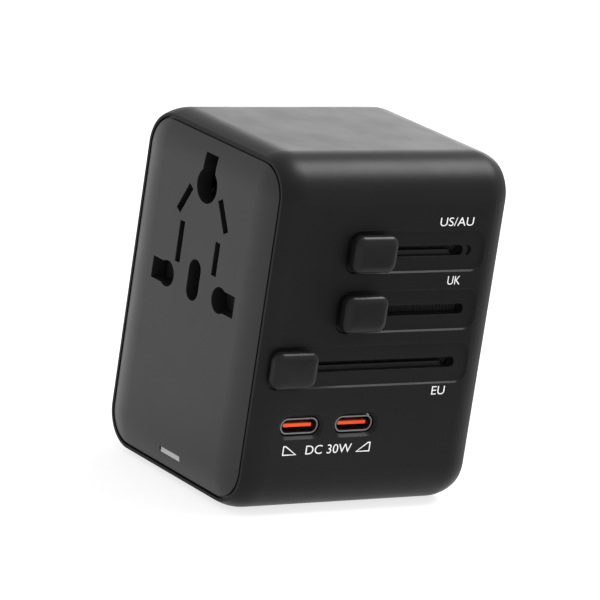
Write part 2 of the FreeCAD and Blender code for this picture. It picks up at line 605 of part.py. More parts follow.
def rear_cover():
    owner = body("cover_body")
    spine = outline(owner, "cover_outline", SEAM, SIDE, MIDDLE, "corner")
    pad(owner, spine, "cover_depth", True)
    round_rear(owner, spine, "cover_edge")
    hollow = outline(owner, "cover_hollow", SEAM, INNER, f"{MIDDLE} - wall", "corner - wall")
    pocket(owner, hollow, "cover_depth - cover_plate")
    through = (f"{PLATE} - 1", f"{REAR} + 1")
    tools = [stadium("nose_hole", through, "eu_nose_width/2 + slide_gap", "eu_nose_level",
                     "eu_nose_height/2 + slide_gap")]
    for word, side in (("left", -1), ("right", 1)):
        tools.append(cylinder("disc_hole_" + word, "y", (f"{side}*us_pin_place", through[0], "us_pin_level"),
                              "us_disc_hole", "cover_plate + 2"))
        tools.append(block("uk_hole_" + word, f"{side}*uk_pin_place", through, "uk_pin_level",
                           "uk_pin_width + 2*slide_gap", "uk_pin_thick + 2*slide_gap"))
    tools.append(block("uk_earth_hole", "0", through, "uk_earth_level", "uk_earth_width + 2*slide_gap",
                       "uk_earth_height + 2*slide_gap"))
    for number, (x, z, _) in enumerate(screw_places()):
        tools.append(cylinder("cover_bore_%d" % number, "y", (x, through[0], z), "screw_radius + fit_gap",
                              "cover_plate + 2"))
        tools.append(cone("cover_sink_%d" % number, "y",
                          (x, f"{REAR} - screw_sink - (screw_head - screw_radius)", z),
                          "screw_radius + fit_gap", "screw_head + fit_gap", "screw_head - screw_radius"))
        tools.append(cylinder("cover_head_%d" % number, "y", (x, f"{REAR} - screw_sink", z),
                              "screw_head + fit_gap", "screw_sink + 1"))
    return node(cut("rear_cover", owner, *tools))


def cover_screws():
    screws = []
    for number, (x, z, _) in enumerate(screw_places()):
        face = f"{REAR} - screw_sink"
        shank = cylinder("screw_shank_%d" % number, "y", (x, f"{face} - screw_length + 1", z), "screw_radius",
                         "screw_length - 1")
        head = cone("screw_head_%d" % number, "y", (x, f"{face} - (screw_head - screw_radius)", z),
                    "screw_radius", "screw_head", "screw_head - screw_radius")
        slots = [block("screw_slot_%d_%s" % (number, word), x, (f"{face} - 0.6", f"{face} + 1"), z, *sizes)
                 for word, sizes in (("flat", ("screw_head*1.3", "screw_slot")),
                                     ("tall", ("screw_slot", "screw_head*1.3")))]
        screws.append(cut("screw_%d" % number, fuse("screw_solid_%d" % number, shank, head), *slots))
    return node(group("cover_screws", *screws))


def side_guide():
    plate = box("guide_plate_blank", (GUIDE_IN, GUIDE_OUT), (f"{PANEL_BACK} + free_gap", f"{PLATE} - 0.1"),
                ("eu_track - 7.6", "us_track + 6.3"))
    across = (f"{GUIDE_IN} - 1", f"{GUIDE_OUT} + 1")
    tools = []
    for word, level, knob, offset in SLIDES:
        start = f"{knob} - neck_length/2 - free_gap"
        height = "guide_slot" if offset else "track_slot"
        tools.append(box(word + "_guide_slot", across, (start, word + "_slot_end"),
                         (f"{level} + {offset} - {height}/2", f"{level} + {offset} + {height}/2")))
        tools.append(slot_bar(word + "_keyhole", across, (f"{word}_slot_end - keyhole", word + "_slot_end"),
                              level, "track_slot"))
    return node(cut("side_guide", plate, *tools))


# Frame, socket contacts and shutter

def inner_shelf():
    shelf = box("shelf_plate", (f"-({INNER} - 0.15)", f"{GUIDE_IN} - fit_gap"),
                (f"{BLOCK_FRONT} + 1.1", f"{PLATE} - 0.1"), ("shelf_level", SHELF_TOP))
    runners = [box("runner_" + word, (f"{side}*runner_place - runner_width/2",
                                      f"{side}*runner_place + runner_width/2"),
                   (BLOCK_BACK, f"{PLATE} - 0.1"), (SHELF_TOP, "uk_block_low - 0.1"))
               for word, side in (("left", -1), ("right", 1))]
    legs = [box("shelf_leg_" + word, (f"-({INNER} - 0.25)", f"-({INNER} - 1.75)"),
                (f"{middle} - 2", f"{middle} + 2"),
                (BOARD_TOP, "shelf_level")) for word, middle in (("front", -16), ("back", 18))]
    slots = [box("drop_slot_" + word, (f"{side}*bar_place - bar_thick/2 - 0.1",
                                       f"{side}*bar_place + bar_thick/2 + 0.1"),
                 (f"{BLOCK_BACK} + 0.1", f"{DROP_BACK} + 0.1"), ("shelf_level - 1", f"{SHELF_TOP} + 1"))
             for word, side in (("left", -1), ("right", 1))]
    return node(cut("inner_shelf", fuse("shelf_with_legs", shelf, *runners, *legs), *slots))


def upper_tray():
    return node(box("upper_tray", ("-us_block_half", "us_block_half"), (BLOCK_BACK, f"{PLATE} - 0.1"),
                    ("tray_low", "tray_low + tray_thick")))


def socket_block():
    solid = box("socket_block_blank", ("-block_half", "block_half"), (BLOCK_FRONT, BLOCK_BACK),
                (SHELF_TOP, "block_high"))
    deep = (f"{BLOCK_FRONT} - 1", f"{BLOCK_BACK} - block_wall")
    tools = [box("middle_chamber", ("-middle_slot_width/2 - 0.7", "middle_slot_width/2 + 0.7"), deep,
                 ("chamber_low", "middle_slot_high + 1")),
             box("earth_chamber", ("-earth_chamber_half", "earth_chamber_half"),
                 (f"{BLOCK_FRONT} - 1", f"{BLOCK_BACK} + 1"), ("earth_chamber_low", "earth_chamber_high"))]
    for word, near, far, side in (("left", "-chamber_outer", "-chamber_inner", -1),
                                  ("right", "chamber_inner", "chamber_outer", 1)):
        tools.append(box("chamber_" + word, (near, far), deep, ("chamber_low", "chamber_high")))
        tools.append(box("bar_slot_" + word, (f"{side}*bar_place - bar_thick/2 - fit_gap",
                                              f"{side}*bar_place + bar_thick/2 + fit_gap"),
                         (f"{BLOCK_BACK} - 3", f"{BLOCK_BACK} + 1"),
                         ("bar_low - fit_gap", "bar_high + fit_gap")))
    return node(cut("socket_block", solid, *tools))


def socket_contacts():
    """Folded strips that grip round, flat and slanted pins, one set for each live side."""
    back = f"{BLOCK_BACK} - block_wall"
    run = (f"{BLOCK_FRONT} + 1.2", back)
    leaves = [box("contact_plate", ("chamber_inner + 0.6", "chamber_outer - 0.3"), (f"{back} - leaf", back),
                  ("chamber_low + 0.1", "chamber_high - 0.5"))]
    for word, side in (("low", -1), ("high", 1)):
        leaves.append(block("grip_" + word, "(round_place + wing_reach)/2 - 1.3", run,
                            f"socket_level + {side}*(round_radius + fit_gap + leaf/2)",
                            "wing_reach - round_place + 2.6", "leaf"))
        leaves.append(block("us_grip_" + word, f"us_slot_place + {side}*(us_slot_width/2 + leaf/2)", run,
                            "us_slot_level", "leaf", "us_slot_right"))
        shift = f"{side}*(au_slot_width/2 + leaf/2)"
        leaves.append(tilted("au_grip_" + word, f"au_slot_place + {shift}*cos(au_tilt)", run,
                             f"au_slot_level + {shift}*sin(au_tilt)", "leaf", "au_slot_length*0.65",
                             "-au_tilt"))
    right = node(fuse("neutral_contact", *leaves))
    return right, node(mirrored("line_contact", right))


def bus_bars():
    """Straight strips that carry each live side back to the three plugs, with a foot below the shelf."""
    run = (f"{BLOCK_BACK} - block_wall", f"{PLATE} - 0.8")
    low_run = (f"{BLOCK_BACK} + slide_gap", f"{PLATE} - 0.8")
    across = (BAR_IN, BAR_OUT)
    right = node(fuse("neutral_bar", box("bar_top", across, run, ("bar_low", "bar_high")),
                      box("bar_drop", across, (low_run[0], DROP_BACK), ("bar_foot", "bar_high")),
                      box("bar_bottom", across, low_run, ("bar_foot", "shelf_level - 0.1"))))
    return right, node(mirrored("line_bar", right))


def shutter():
    front, back = f"{PANEL_BACK} + slide_gap", f"{PANEL_BACK} + slide_gap + shutter_thick"
    bridge_low = "shutter_low - shutter_bridge"
    pieces = [box("shutter_bar", ("-shutter_half", "shutter_half"), (front, back),
                  (bridge_low, "shutter_low")),
              box("shutter_left", ("-shutter_half", "-shutter_inner"), (front, back),
                  ("shutter_low", "shutter_high")),
              box("shutter_right", ("shutter_inner", "shutter_half"), (front, back),
                  ("shutter_low", "shutter_high")),
              box("shutter_foot", (-2, 2), (front, f"{back} + 1.1"),
                  (bridge_low, f"{bridge_low} + shutter_seat"))]
    node(fuse("socket_shutter", *pieces))
    node(spring("shutter_spring", "z", ("0", f"{front} + 1.2", "ledge_level"), "shutter_spring_radius",
                "spring_wire", f"({bridge_low} - ledge_level)"))


def fuse_set():
    centre = ("fuse_place", "fuse_depth_place")
    node(cylinder("fuse_tube", "z", (*centre, "fuse_low + fuse_cap"), "fuse_radius - 0.15",
                  "fuse_length - 2*fuse_cap"))
    levels = (("low", "fuse_low"), ("high", "fuse_low + fuse_length - fuse_cap"))
    node(group("fuse_caps", *[cylinder("fuse_cap_" + word, "z", (*centre, level), "fuse_radius", "fuse_cap")
                              for word, level in levels]))
    clips = []
    for word, level in levels:
        ring = cut("clip_ring_" + word,
                   cylinder("clip_out_" + word, "z", (*centre, f"{level} + 0.5"),
                            "fuse_radius + clip_thick - 0.05",
                            "fuse_cap - 1"),
                   cylinder("clip_in_" + word, "z", (*centre, level), "fuse_radius", "fuse_cap"),
                   box("clip_mouth_" + word, ("fuse_place - 2*fuse_radius", "fuse_place + 2*fuse_radius"),
                       ("fuse_depth_place - 2*fuse_radius", "fuse_depth_place - 0.6*fuse_radius"),
                       (level, f"{level} + fuse_cap")))
        low = SHELF_TOP if word == "low" else f"{level} - 6"
        tail = block("clip_tail_" + word, "fuse_place",
                     ("fuse_depth_place + fuse_radius + 0.05", "fuse_depth_place + fuse_radius + clip_thick"),
                     f"({low} + {level} + fuse_cap - 0.5)/2", 2, f"{level} + fuse_cap - 0.5 - ({low})")
        clips.append(fuse("clip_" + word, ring, tail))
    node(group("fuse_clips", *clips))


# Three plug carriages and their knobs

def web_level(slide):
    return f"{slide[1]} + {slide[3]}"


def arm(slide, start, low=None, high=None):
    """A square arm that reaches from a carriage to its knob."""
    word, _, knob, _ = slide
    level = web_level(slide)
    return box(word + "_arm", (start, ARM_END), (f"{knob} - arm_width/2", f"{knob} + arm_width/2"),
               (low or f"{level} - arm_half", high or f"{level} + arm_half"))


def arm_pocket(slide):
    word, _, knob, _ = slide
    level = web_level(slide)
    return block(word + "_arm_pocket_y", f"({POCKET_IN} + {ARM_END} + 1)/2",
                 (f"{knob} - foot_length/2 - 0.1", f"{knob} + foot_length/2 + 0.1"), level,
                 f"{ARM_END} + 1 - {POCKET_IN}", "foot_height + 0.2")


def knob(slide):
    """A soft-cornered button with a neck through the wall, a thin web and a captive foot."""
    word, track, middle, _ = slide
    level = web_level(slide)
    owner = body(word + "_knob_cap")
    profile = rounded(sketch(owner, word + "_cap", "YZ_Plane", KNOB_IN, f"{track} + cap_lift"),
                      f"{middle} + cap_shift - knob_length/2", f"{middle} + cap_shift + knob_length/2",
                      "-knob_height/2", "knob_height/2", "knob_round")
    cap = pad(owner, profile, "knob_thick")
    top = value(KNOB_OUT) - 0.01
    bevel = owner.newObject("PartDesign::Chamfer", word + "_cap_bevel")
    bevel.Base = (cap, ["Edge%d" % number for number, edge in enumerate(cap.Shape.Edges, 1)
                        if edge.BoundBox.XMin > top])
    bind(bevel, "Size", "knob_chamfer")
    along = (f"{middle} - neck_length/2", f"{middle} + neck_length/2")
    neck = slot_bar(word + "_neck", (NECK_IN, f"{KNOB_IN} + 1"), along, track, "neck_height")
    inside = (f"{middle} - foot_length/2", f"{middle} + foot_length/2")
    web = box(word + "_web", (f"{FOOT_OUT} - 0.5", f"{NECK_IN} + 0.5"), inside,
              (f"{level} - web_height/2", f"{level} + web_height/2"))
    foot = box(word + "_foot", (FOOT_IN, FOOT_OUT), inside,
               (f"{level} - foot_height/2", f"{level} + foot_height/2"))
    node(fuse(word + "_knob", owner, neck, web, foot))
    node(spring(word + "_knob_spring", "x", (POCKET_IN, middle, level), "knob_spring_radius", "spring_wire",
                f"({FOOT_IN} - {POCKET_IN})"))


def us_plug():
    """Carriage with two turning blades: upright for the US, slanted for Australia."""
    face, back = US_FACE, f"{US_FACE} - us_block_depth"
    level = web_level(US_SLIDE)
    blocks = [box("us_block", ("-us_block_half", "us_block_half"), (back, face),
                  ("us_block_low", "us_block_high")),
              box("us_shoulder", ("us_block_half - 3.5", "us_block_half"),
                  ("us_knob_place - arm_width/2", face),
                  ("us_block_high - 1.5", f"{level} + arm_half")),
              arm(US_SLIDE, "us_block_half - 3.5")]
    seats = [cylinder("disc_seat_" + word, "y", (f"{side}*us_pin_place", f"{face} - us_disc_seat",
                                                 "us_pin_level"),
                      "us_disc_radius + fit_gap", "us_disc_seat + 1") for word,
                      side in (("left", -1), ("right", 1))]
    node(cut("us_carriage", fuse("us_carriage_solid", *blocks), *seats, arm_pocket(US_SLIDE)))
    disc_face = f"{REAR} - us_travel"
    root = f"{face} - us_disc_seat + fit_gap"
    for word, side in (("left", -1), ("right", 1)):
        middle = f"{side}*us_pin_place"
        blade = tapered(f"us_blade_{word}_solid", middle, (root, f"{disc_face} + us_pin_length"),
                        "us_pin_level",
                        "us_pin_width", "us_pin_height", "us_pin_width/2")
        hole = cylinder("blade_hole_" + word, "x", (f"{middle} - 2",
                                                    f"{disc_face} + us_pin_length - blade_hole_back",
                                                    "us_pin_level"), "blade_hole", 4)
        node(cut("us_blade_" + word, blade, hole))
        disc = cylinder("disc_solid_" + word, "y", (middle, root, "us_pin_level"), "us_disc_radius",
                        f"{disc_face} - ({root})")
        slot = block("disc_slot_" + word, middle, (f"{root} - 1", f"{disc_face} + 1"), "us_pin_level",
                     "us_pin_width", "us_pin_height")
        node(cut("us_disc_" + word, disc, slot))
    wipers = []
    for word, side in (("left", -1), ("right", 1)):
        for part, near, far, half_y, half_z in (("leaf", "us_block_half", "us_block_half + 0.3", 2.5, 1.5),
                                                ("nub", "us_block_half + 0.3", f"{BAR_IN} - fit_gap", 0.6,
                                                 0.6)):
            edges = sorted((f"{side}*({near})", f"{side}*({far})"), key=value)
            wipers.append(box(f"us_{part}_{word}", edges,
                              (f"{face} - 3.5 - {half_y}", f"{face} - 3.5 + {half_y}"),
                              (f"47.2 - {half_z}", f"47.2 + {half_z}")))
    node(group("us_wipers", fuse("us_wiper_left", *wipers[:2]), fuse("us_wiper_right", *wipers[2:])))
    knob(US_SLIDE)


def uk_plug():
    """C-shaped carriage: two flat brass pins below and a plastic earth pin above, round the US carriage."""
    face, back = UK_FACE, f"{UK_FACE} - uk_block_depth"
    root = f"{face} - 4"
    blocks = [box("uk_block", ("-uk_block_half", "uk_block_half"), (back, face),
                  ("uk_block_low", "uk_block_high")),
              box("uk_column", ("-uk_block_half", "-uk_block_half + uk_column_width"), (back, face),
                  ("uk_block_high - 1", "uk_link_high")),
              box("uk_link", ("-uk_block_half", "0"), (back, face), ("uk_link_low", "uk_link_high")),
              box("uk_earth_block", ("-uk_earth_half", "uk_earth_half"), (back, face),
                  ("uk_link_low", "uk_earth_level + uk_earth_height/2 + uk_earth_rim")),
              box("uk_shoulder", ("uk_block_half - 4", "uk_block_half"),
                  ("uk_knob_place - arm_width/2", face),
                  (f"{web_level(UK_SLIDE)} - arm_half", f"{web_level(UK_SLIDE)} + arm_half")),
              arm(UK_SLIDE, "uk_block_half - 4")]
    tip = f"{PLATE} - slide_gap - uk_travel + cover_plate + slide_gap + uk_pin_length"
    earth_tip = f"{PLATE} - slide_gap - uk_travel + cover_plate + slide_gap + uk_earth_length"
    sleeve_end = f"{face} + cover_plate + slide_gap + uk_sleeve_length"
    core_width, core_thick = "uk_pin_width - 2*uk_sleeve_wall", "uk_pin_thick - 2*uk_sleeve_wall"
    seats = []
    sleeves = []
    for name, word, side in (("uk_line_pin", "left", -1), ("uk_neutral_pin", "right", 1)):
        middle = f"{side}*uk_pin_place"
        seats.append(block("uk_seat_" + word, middle, (root, f"{face} + 1"), "uk_pin_level", core_width,
                           core_thick))
        core = block(name + "_core", middle, (root, sleeve_end), "uk_pin_level", core_width, core_thick)
        bar = tapered(name + "_end", middle, (sleeve_end, tip), "uk_pin_level", "uk_pin_width",
                      "uk_pin_thick",
                      "pin_bevel")
        node(fuse(name, core, bar))
        ring = block("uk_ring_" + word, middle, (face, sleeve_end), "uk_pin_level", "uk_pin_width",
                     "uk_pin_thick")
        bore = block("uk_bore_" + word, middle, (f"{face} - 1", f"{sleeve_end} + 1"), "uk_pin_level",
                     core_width,
                     core_thick)
        sleeves.append(cut("uk_sleeve_" + word, ring, bore))
    node(group("uk_pin_sleeves", *sleeves))
    seats.append(block("uk_seat_earth", "0", (root, f"{face} + 1"), "uk_earth_level", "uk_earth_width",
                       "uk_earth_height"))
    node(tapered("uk_earth_pin", "0", (root, earth_tip), "uk_earth_level", "uk_earth_width",
                 "uk_earth_height",
                 "pin_bevel"))
    node(cut("uk_carriage", fuse("uk_carriage_solid", *blocks), *seats, arm_pocket(UK_SLIDE)))
    wipers = []
    for word, side in (("left", -1), ("right", 1)):
        leaf = block("uk_leaf_" + word, f"{side}*bar_place", (f"{face} - 5", f"{face} - 0.6"),
                     "uk_block_high + 0.15", "bar_thick", 0.3)
        nub = box("uk_nub_" + word, (f"{side}*bar_place - bar_thick/2", f"{side}*bar_place + bar_thick/2"),
                  (f"{face} - 3.4", f"{face} - 2.2"), ("uk_block_high + 0.3", "bar_low - fit_gap"))
        wipers.append(fuse("uk_wiper_" + word, leaf, nub))
    node(group("uk_wipers", *wipers))
    knob(UK_SLIDE)


def eu_plug():
    """A long round-ended nose with two round pins that comes right out of the rear cover."""
    face, back = EU_FACE, f"{EU_FACE} - eu_nose_length"
    stop = f"{PLATE} - 0.4 - eu_travel"
    nose = stadium("eu_nose_solid", (back, face), "eu_nose_width/2", "eu_nose_level", "eu_nose_height/2")
    hollow = stadium("eu_nose_hollow", (f"{back} - 1", f"{face} - eu_nose_front"),
                     "eu_nose_width/2 - eu_nose_wall",
                     "eu_nose_level", "eu_nose_height/2 - eu_nose_wall")
    level = web_level(EU_SLIDE)
    along = ("eu_knob_place - arm_width/2", stop)
    link = box("eu_link", ("eu_pin_place + 0.5", "eu_nose_width/2 - 0.5"), along,
               (f"{level} - arm_half", "eu_nose_level + eu_nose_height/2 - 0.25"))
    rail = box("eu_rail", ("eu_nose_width/2 - 1.4", ARM_END), along,
               (f"{level} - arm_half", f"{level} + arm_half"))
    wiper_y = (f"{stop} - 1.75", f"{stop} - 0.65")
    notches = []
    wipers = []
    pins = []
    sleeves = []
    sleeve_end = f"{face} + eu_sleeve_length"
    for name, word, side in (("eu_line_pin", "left", -1), ("eu_neutral_pin", "right", 1)):
        middle = f"{side}*eu_pin_place"
        tip = f"{face} + eu_pin_length"
        core_radius = "eu_pin_radius - eu_sleeve_wall"
        core = cylinder(name + "_core", "y", (middle, f"{face} - eu_nose_front", "eu_nose_level"),
                        core_radius,
                        "eu_nose_front + eu_sleeve_length")
        bar = cylinder(name + "_bar", "y", (middle, sleeve_end, "eu_nose_level"), "eu_pin_radius",
                       "eu_pin_length - eu_sleeve_length - eu_pin_radius")
        end = doc.addObject("Part::Sphere", name + "_end")
        bind(end, "Radius", "eu_pin_radius")
        place(end, "y", (middle, f"{tip} - eu_pin_radius", "eu_nose_level"))
        pins.append(node(fuse(name, core, bar, end)))
        notches.append(cylinder("eu_seat_" + word, "y",
                                (middle, f"{face} - eu_nose_front - 1", "eu_nose_level"),
                                core_radius, "eu_nose_front + 2"))
        ring = cylinder("eu_ring_" + word, "y", (middle, face, "eu_nose_level"), "eu_pin_radius",
                        "eu_sleeve_length")
        bore = cylinder("eu_bore_" + word, "y", (middle, f"{face} - 1", "eu_nose_level"), core_radius,
                        "eu_sleeve_length + 2")
        sleeves.append(cut("eu_sleeve_" + word, ring, bore))
        sizes = (f"{side}*bar_place - bar_thick/2", f"{side}*bar_place + bar_thick/2")
        seat = "eu_nose_level + eu_nose_height/2 - 1.1"
        notches.append(box("eu_notch_" + word, sizes, wiper_y, (seat, f"{seat} + 3")))
        wipers.append(box("eu_wiper_" + word, sizes, wiper_y, (seat, "bar_foot - fit_gap")))
    node(group("eu_pin_sleeves", *sleeves))
    node(cut("eu_nose", fuse("eu_nose_with_arm", cut("eu_nose_shell", nose, hollow), link, rail), *notches,
             arm_pocket(EU_SLIDE)))
    node(group("eu_wipers", *wipers))
    knob(EU_SLIDE)


# Charger electronics below the plugs

def usb_ports():
    outer_end = f"{SIDE} - usb_recess"
    back = f"({outer_end} - usb_length)"
    for word, place_y in PORTS:
        skin = port_bar("usb_skin_" + word, place_y, (back, outer_end), "usb_width/2", "usb_height/2")
        room = port_bar("usb_room_" + word, place_y, (f"{back} + usb_wall", f"{outer_end} + 1"),
                        "usb_width/2 - usb_wall", "usb_height/2 - usb_wall")
        node(cut("usb_shell_" + word, skin, room))
        node(box("usb_tongue_" + word, (f"{back} + usb_wall", f"{outer_end} - tongue_recess"),
                 (f"{place_y} - tongue_width/2", f"{place_y} + tongue_width/2"),
                 ("usb_level - tongue_thick/2", "usb_level + tongue_thick/2")))


def electronics():
    node(box("charger_board", (f"-({INNER} - 0.35)", f"{INNER} - 0.35"),
             (f"{PANEL_BACK} + 0.4", f"{PLATE} - 0.5"), (BOARD_LOW, BOARD_TOP)))
    transformer()
    node(cylinder("input_capacitor", "y", ("input_place", "input_start", "input_level"), "input_radius",
                  "input_length"))
    node(cylinder("output_capacitor", "z", ("output_place", "output_depth_place",
                                            f"{BOARD_LOW} - output_length"),
                  "output_radius", "output_length"))
    filter_choke()
    node(block("bridge_rectifier", "bridge_place", ("bridge_start", "bridge_start + 4"),
               f"{BOARD_LOW} - bridge_height/2", 5, "bridge_height"))
    chips = [box("chip_%d" % number, (x, x + wide), (y, y + deep), (f"{BOARD_LOW} - chip_height", BOARD_LOW))
             for number, (x, y, wide, deep) in enumerate(((-3, -16, 5, 5), (4, 0, 3, 3), (-20, 9, 4, 5)))]
    node(group("control_chips", *chips))
    supply_leads()


def transformer():
    """A closed ferrite core with its taped winding through the window."""
    edges = ("core_low", BOARD_LOW)
    half = "(core_width/2 - core_limb)"
    core = block("core_solid", "core_place", ("core_start", "core_start + core_depth"),
                 f"(core_low + {BOARD_LOW})/2", "core_width", f"{BOARD_LOW} - core_low")
    window = box("core_window", (f"core_place - {half}", f"core_place + {half}"),
                 ("core_start - 1", "core_start + core_depth + 1"),
                 (f"{edges[0]} + core_limb", f"{edges[1]} - core_limb"))
    node(cut("transformer_core", core, window))
    node(box("transformer_winding",
             (f"core_place - {half} + winding_gap", f"core_place + {half} - winding_gap"),
             ("core_start - winding_over", "core_start + core_depth + winding_over"),
             (f"{edges[0]} + core_limb + winding_gap", f"{edges[1]} - core_limb - winding_gap")))


def filter_choke():
    level = f"{BOARD_LOW} - 2*choke_wire"
    ring = doc.addObject("Part::Torus", "choke_ring")
    bind(ring, "Radius1", "choke_radius")
    bind(ring, "Radius2", "choke_wire")
    place(ring, "z", ("choke_place", "choke_depth_place", level))
    pins = [cylinder("choke_pin_" + word, "z",
                     (f"choke_place + ({side})*choke_radius", "choke_depth_place", f"{BOARD_LOW} - 3"),
                     "lead_radius", 3) for word, side in (("left", -1), ("right", 1))]
    node(fuse("filter_choke", ring, *pins))


def supply_leads():
    """Two round leads from the bus bars, along under the shelf and down to the board."""
    level = "shelf_level - 2*lead_radius"
    rise = f"{level} - ({BOARD_TOP}) + lead_radius"
    near_y = f"({BLOCK_BACK} + 1.7)"
    far_y = f"({BLOCK_BACK} - 1.0)"
    tap = "(bar_place - 0.1)"
    line = fuse("line_lead", cylinder("line_lead_flat", "x", ("lead_place", near_y, level), "lead_radius",
                                      f"-({BAR_OUT}) - (lead_place)"),
                cylinder("line_lead_down", "z", ("lead_place", near_y, BOARD_TOP), "lead_radius", rise))
    neutral = fuse("neutral_lead",
                   cylinder("neutral_lead_tap", "y", (tap, far_y, level), "lead_radius",
                            f"{BLOCK_BACK} + slide_gap - {far_y}"),
                   cylinder("neutral_lead_flat", "x", ("lead_place", far_y, level), "lead_radius",
                            f"{tap} - (lead_place)"),
                   cylinder("neutral_lead_down", "z", ("lead_place", far_y, BOARD_TOP), "lead_radius", rise))
    node(group("supply_leads", line, neutral))


def lamp():
    node(block("lamp_lens", "0", (f"{FRONT} + lamp_sink", f"{PANEL_BACK} + 0.5"), "lamp_level",
               "lamp_width - 0.1", "lamp_height - 0.1"))
    start = f"({PANEL_BACK} + 0.7)"
    bulb = cylinder("lamp_bulb", "y", ("0", start, "lamp_level"), "lamp_radius", "lamp_length")
    rim = cylinder("lamp_rim", "y", ("0", f"{start} + lamp_length - 0.8", "lamp_level"), "lamp_radius + 0.4",
                   0.8)
    leads = [box("lamp_lead_" + word, (x, x + 0.5), (f"{start} + lamp_length",
                                                     f"{start} + lamp_length + 0.5"),
                 ("lamp_level - 0.25", BOARD_LOW))
             for word, x in (("left", -1.5), ("right", 1.0))]
    node(group("power_lamp", fuse("lamp_body", bulb, rim), *leads))


def build():
    housing_sleeve()
    front_panel()
    rear_cover()
    cover_screws()
    side_guide()
    inner_shelf()
    upper_tray()
    socket_block()
    socket_contacts()
    bus_bars()
    shutter()
    fuse_set()
    us_plug()
    uk_plug()
    eu_plug()
    usb_ports()
    electronics()
    lamp()
    doc.recompute()


def save():
    """Stop on any failed object or broken solid; otherwise write one file for each piece."""
    for item in doc.Objects:
        if "Invalid" in item.State or "Error" in item.State:
            raise RuntimeError(item.Label + " failed: " + ", ".join(item.State))
    for item in NODES:
        if item.Shape.isNull() or not item.Shape.isValid() or not item.Shape.Solids:
            raise RuntimeError(item.Label + " is not a sound solid")
    os.makedirs("parts", exist_ok=True)
    for item in NODES:
        item.Shape.exportStep("parts/" + item.Label + ".step")
    print(len(NODES), "pieces written")


build()
save()
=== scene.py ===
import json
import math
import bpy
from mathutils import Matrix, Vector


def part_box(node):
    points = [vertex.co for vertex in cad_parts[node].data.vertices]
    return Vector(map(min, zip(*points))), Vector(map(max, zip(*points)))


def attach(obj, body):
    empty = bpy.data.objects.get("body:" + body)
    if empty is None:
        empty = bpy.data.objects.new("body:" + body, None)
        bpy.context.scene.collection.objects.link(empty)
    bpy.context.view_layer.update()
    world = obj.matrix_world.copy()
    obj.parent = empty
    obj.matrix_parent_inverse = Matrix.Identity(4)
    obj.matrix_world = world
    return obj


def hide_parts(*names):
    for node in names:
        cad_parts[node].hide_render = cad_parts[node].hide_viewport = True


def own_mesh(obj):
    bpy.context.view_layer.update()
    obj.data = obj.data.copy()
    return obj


bl_info = {
    "name": "Universal travel adapter",
    "version": (1, 0, 0),
    "blender": (4, 5, 0),
    "location": "View3D > Sidebar > Adapter",
    "description": "Builds the looks of a universal travel adapter round its packed parts",
    "category": "Object",
}

import bmesh
import bpy
import numpy as np
from bpy.props import FloatProperty, FloatVectorProperty, IntProperty, PointerProperty, StringProperty
from mathutils import Matrix, Vector

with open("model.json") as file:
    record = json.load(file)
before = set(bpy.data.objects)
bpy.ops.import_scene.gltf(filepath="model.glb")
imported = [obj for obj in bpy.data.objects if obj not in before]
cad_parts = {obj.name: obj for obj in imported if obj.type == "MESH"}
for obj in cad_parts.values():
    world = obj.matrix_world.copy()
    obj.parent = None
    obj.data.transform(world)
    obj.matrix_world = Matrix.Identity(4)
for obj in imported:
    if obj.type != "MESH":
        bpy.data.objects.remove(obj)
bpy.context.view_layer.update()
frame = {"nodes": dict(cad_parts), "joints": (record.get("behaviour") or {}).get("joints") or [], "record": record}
MM = 0.001

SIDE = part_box("housing_sleeve")[1].x  # where the wall with the sliders and the ports lies
SLIDERS = ("us", "uk", "eu")
SLIDES = {"us": "us_au_slide", "uk": "uk_slide", "eu": "eu_slide"}


# Settings

def length(label, about, value):
    """A size in metres."""
    return FloatProperty(name=label, description=about, default=value, subtype="DISTANCE", unit="LENGTH")


def share(label, about, value):
    """A number from 0 to 1."""
    return FloatProperty(name=label, description=about, default=value, min=0.0, max=1.0, subtype="FACTOR")


def colour(label, about, value):
    """A colour as red, green and blue."""
    return FloatVectorProperty(name=label, description=about, default=value, size=3, min=0.0, max=1.0,
                               subtype="COLOR")


class AdapterKnobs(bpy.types.PropertyGroup):
    corner: length("Corner", "Radius of the cap's four upright corners", 1.8 * MM)
    bevel: length("Bevel", "Depth of the slanted edge round the cap's face", 0.75 * MM)
    slant: length("Slant", "How far the slanted edge runs in from the cap's side", 1.15 * MM)
    crown: length("Crown", "Height of the face's middle over its rim", 0.1 * MM)
    lift: length("Lift", "Height of the cap's middle over its slot's", 0.15 * MM)
    thickness: length("Thickness", "Thickness of the cap from its back to its face", 2.5 * MM)
    foot: length("Foot radius", "Radius of the edge round the cap's back", 0.3 * MM)
    sunk: length("Sunk", "How far the neck reaches into the cap", 0.4 * MM)


class AdapterSprings(bpy.types.PropertyGroup):
    wire: length("Wire", "Radius of the spring wire", 0.13 * MM)
    knob_turns: FloatProperty(name="Knob turns", description="Turns of a knob spring", default=4.0)
    shutter_turns: FloatProperty(name="Shutter turns", description="Turns of the shutter's spring",
                                 default=8.0)


# Settings of the dark curtains: painted shade that keeps the slots behind the knobs dark
class AdapterCurtains(bpy.types.PropertyGroup):
    pleat: length("Pleat", "Length of one pleat along the slot", 0.8 * MM)
    fold: length("Fold", "Depth of the folds", 0.35 * MM)
    film: length("Film", "Thickness of the film", 0.08 * MM)
    curtain_height: length("Height", "Height of a curtain", 3.4 * MM)
    gap: length("Gap", "Air between a curtain and the guide", 0.06 * MM)
    clear: length("Clear", "From a knob's middle to the front edge of its curtain", 1.45 * MM)
    stack: length("Stack", "Length of a folded curtain", 1.6 * MM)


